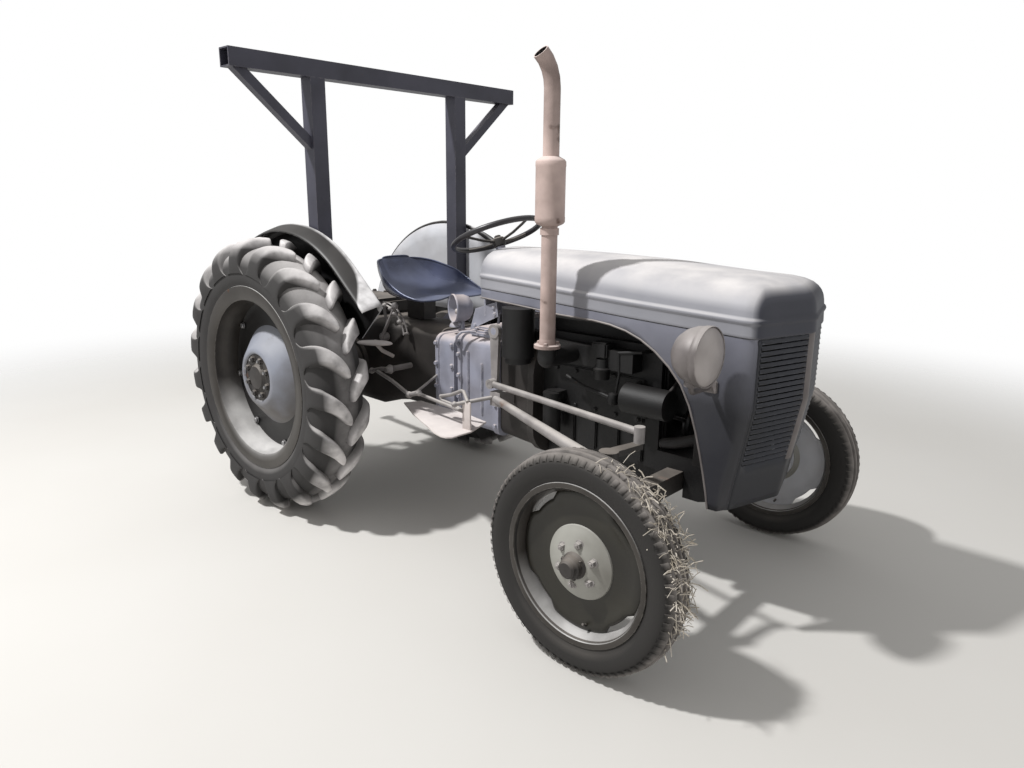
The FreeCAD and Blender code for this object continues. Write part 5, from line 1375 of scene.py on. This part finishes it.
bulb.lathe([(-0.022, 0.001), (-0.019, 0.009), (-0.01, 0.014), (0.0, 0.0135), (0.009, 0.009),
            (0.012, 0.009), (0.03, 0.01)],
           MOUTH + INTO * 0.03 + Vector((0, 0, -0.014)), INTO, 24)
bulb.done("WorkBulb", "chassis", "lamp_shell", finish="lens_bulb", sharp=50)

# %% [markdown]
# ## Step plates and pedals
# A dusty plate hangs at each side of the gearbox, wide in front and tapering back. Above it run
# the cranked rods of the brake and clutch pedals, with a bent bar for the foot. The plate is one
# outline at three heights, drawn in a little at the top like a rolled edge.

# %% Step plates
PLATE = ((0.459, 0.244), (0.492, 0.172), (0.794, 0.176), (0.93, 0.2), (0.981, 0.336), (0.978, 0.433),
         (0.962, 0.45), (0.933, 0.454), (0.88, 0.44), (0.635, 0.336))
steps = Form()
rings = []
for shrink, z in ((0.0, 0.486), (0.0, 0.4905), (0.008, 0.4925)):
    rings.append([at(x + (0.72 - x) * shrink, y + (0.31 - y) * shrink, z) for x, y in PLATE])
made = steps.grid(rings, closed_across=True)
steps.cap(made[0][::-1])
steps.cap(made[-1])
steps.block(at(0.924, 0.324, 0.488), at(0.972, 0.331, 0.606), 0.003)
steps.twin().done("StepPlates", "chassis", "rod_steel", finish="dusty_plate", stands_for=("step_plates",),
                  sharp=30)

# %% [markdown]
# A pedal is a chain of round rods. Each row of the table gives the points of one rod and its radius,
# and knobs close the joints where rods meet.

# %% Pedal rods
rods = Form()
for places, radius in (
        (((1.012, 0.25, 0.62), (0.96, 0.3, 0.606), (0.909, 0.356, 0.592)), 0.008),
        (((0.764, 0.3, 0.588), (0.83, 0.3, 0.606), (0.892, 0.302, 0.634), (0.906, 0.303, 0.634),
          (0.956, 0.33, 0.606)), 0.0075),
        (((0.764, 0.3, 0.588), (0.775, 0.3, 0.572), (0.85, 0.302, 0.566), (0.93, 0.33, 0.563)), 0.0075),
        (((0.376, 0.126, 0.631), (0.376, 0.276, 0.631)), 0.013),
        (((0.376, 0.25, 0.631), (0.31, 0.25, 0.622), (0.242, 0.25, 0.603)), 0.01),
        (((0.3, 0.262, 0.611), (0.43, 0.282, 0.592), (0.566, 0.3, 0.557)), 0.0085),
        (((0.566, 0.3, 0.557), (0.604, 0.302, 0.57), (0.632, 0.302, 0.58)), 0.011),
        (((0.632, 0.302, 0.575), (0.78, 0.316, 0.568), (0.93, 0.33, 0.563)), 0.0075),
        (((0.604, 0.3, 0.571), (0.588, 0.16, 0.623)), 0.006)):
    rods.rod(places, radius, 12)
for place, size in (((0.376, 0.25, 0.631), 0.022), ((0.566, 0.3, 0.557), 0.016),
                    ((0.632, 0.302, 0.577), 0.014), ((0.909, 0.356, 0.592), 0.013),
                    ((0.242, 0.25, 0.603), 0.015)):
    rods.knob(at(*place), size)
rods.twin().done("PedalRods", "chassis", "rod_steel", stands_for=("pedals",), sharp=45)

# %% [markdown]
# ## Engine fittings
# Under the arch of the bonnet the engine shows its fittings, dark with oil and dust and darker
# still with painted shade: the side cover, the carburettor with its bowl and pipes, the fan with its
# belt, the top hose and the bolts of the manifold.

# %% Engine fittings
fittings = Form()
fittings.block(at(1.235, -0.148, 0.62), at(1.64, -0.138, 0.78), 0.006)
for x in (1.255, 1.345, 1.435, 1.525, 1.62):
    for z in (0.635, 0.765):
        fittings.bolt(at(x, -0.148, z), (0, -1, 0), 0.014, 0.008)
for x in (1.23, 1.33, 1.43, 1.53, 1.63):
    fittings.bolt(at(x, -0.11, 0.96), "z", 0.02, 0.014)
    fittings.block(at(x - 0.012, -0.15, 0.48), at(x + 0.012, -0.138, 0.6), 0.004)
fittings.block(at(1.455, -0.215, 0.842), at(1.52, -0.165, 0.898), 0.006)
fittings.lathe([(-0.034, 0.01), (-0.032, 0.027), (-0.004, 0.029), (0.0, 0.032), (0.006, 0.032),
                (0.01, 0.024), (0.04, 0.022)], at(1.496, -0.2, 0.801), "z", 28)
fittings.rod([(1.341, -0.2, 0.755), (1.42, -0.202, 0.728), (1.499, -0.2, 0.715), (1.545, -0.196, 0.704)],
             0.007)
fittings.lathe(mirrored([(-0.024, 0.004), (-0.018, 0.017), (0.0, 0.022)]), at(1.545, -0.196, 0.704), "z", 20)
fittings.rod([(1.563, -0.2, 0.87), (1.61, -0.2, 0.878), (1.652, -0.196, 0.883), (1.668, -0.15, 0.885)], 0.006)
fittings.rod([(1.563, -0.2, 0.87), (1.566, -0.2, 0.83), (1.567, -0.198, 0.793), (1.556, -0.196, 0.73)], 0.005)
# %% [markdown]
# In front of the engine come its cover, two pulleys and a fan with four twisted blades. The blades
# are one small grid, turned about the shaft.

# %% Pulleys and fan
fittings.block(at(1.685, -0.12, 0.56), at(1.712, 0.12, 0.85), 0.008)
fittings.lathe([(0.0, 0.03), (0.01, 0.064), (0.014, 0.056), (0.02, 0.064), (0.03, 0.06), (0.032, 0.022),
                (0.06, 0.02)], at(1.742, 0, 0.79), "x", 36)
fittings.lathe([(0.0, 0.03), (0.01, 0.074), (0.016, 0.066), (0.022, 0.074), (0.03, 0.07), (0.032, 0.02)],
               at(1.742, 0, 0.618), "x", 36)
fittings.rod([(1.7, 0, 0.79), (1.745, 0, 0.79)], 0.02, 16)
fittings.rod([(1.7, 0, 0.618), (1.745, 0, 0.618)], 0.024, 16)
BLADE = ((0.03, 0.6), (0.07, 1.0), (0.12, 1.2), (0.142, 1.1))  # distance from the middle, twist
for count in range(4):
    turn = Matrix.Rotation(math.radians(90 * count + 30), 3, "X")
    blade = [[Vector((0.01 * side * twist, 0.03 * side, reach)) for side in (-1, -0.4, 0.4, 1)]
             for reach, twist in BLADE]
    fittings.grid([[at(1.8, 0, 0.79) + turn @ point for point in row] for row in blade])
for x in (1.262, 1.345, 1.47, 1.56):
    fittings.bolt(at(x, -0.176, 0.842), (0, -1, 0), 0.018, 0.016)
fittings.done("EngineFittings", "chassis", "engine_iron", sharp=40)

# %% [markdown]
# The belt runs round three pulleys. Each gives an arc of points, and one closed tube joins them. Two
# hoses lead to the radiator.

# %% Belt and hoses
belt = Form()
PULLEYS = ((0.0, 0.618, 0.072, -200, -20), (0.0, 0.79, 0.062, -20, 100), (-0.196, 0.716, 0.036, 100, 200))
around_pulleys = []
for centre_y, centre_z, radius, first, last in PULLEYS:
    for step in range(9):
        turn = math.radians(first + (last - first) * step / 8)
        around_pulleys.append(at(1.757, centre_y + radius * math.cos(turn),
                                 centre_z + radius * math.sin(turn)))
belt.tube(around_pulleys + around_pulleys[:1], 0.0065, 8, capped=False)
belt.rod([(1.64, -0.05, 0.955), (1.7, -0.052, 0.972), (1.78, -0.055, 0.978), (1.85, -0.055, 0.975),
          (1.874, -0.055, 0.972)], 0.022, 20)
belt.rod([(1.706, -0.12, 0.56), (1.76, -0.125, 0.575), (1.83, -0.12, 0.6), (1.872, -0.118, 0.61)], 0.02, 20)
belt.done("BeltAndHoses", "chassis", "engine_iron", finish="hose_rubber", sharp=60)

# %% [markdown]
# ## Straw on the front tyre
# Straw from the floor hangs on the tread of the right front wheel. Each strand is a thin bent tube
# whose place and way come from a random series with a fixed start, so that it is always the same.

# %% Straw
STRANDS = 380
series = random.Random(7)
straw = Form()
hub_place = (STEERED[0], -STEERED[1], STEERED[2])
for count in range(STRANDS):
    angle = series.triangular(-30, 86, 26)
    across = series.uniform(-0.045, 0.05)
    start = polar(hub_place, angle, 0.334 + series.uniform(0, 0.012), hub_place[1] + across)
    way = Vector((series.uniform(-1, 1), series.uniform(-1, 1), series.uniform(-0.6, 0.9))).normalized()
    length = series.triangular(0.012, 0.075, 0.022)
    sag = Vector((0, 0, -0.2 * length))
    straw.tube([start, start + way * length * 0.5, start + way * length + sag],
               series.uniform(0.0008, 0.0017), 4)
straw.done("Straw", "front_right", "rubber", finish="straw", sharp=60)

# %% [markdown]
# ## Size
# The dressed tractor should keep to the box of the solids, apart from straw that stands out in front
# of the tyre.
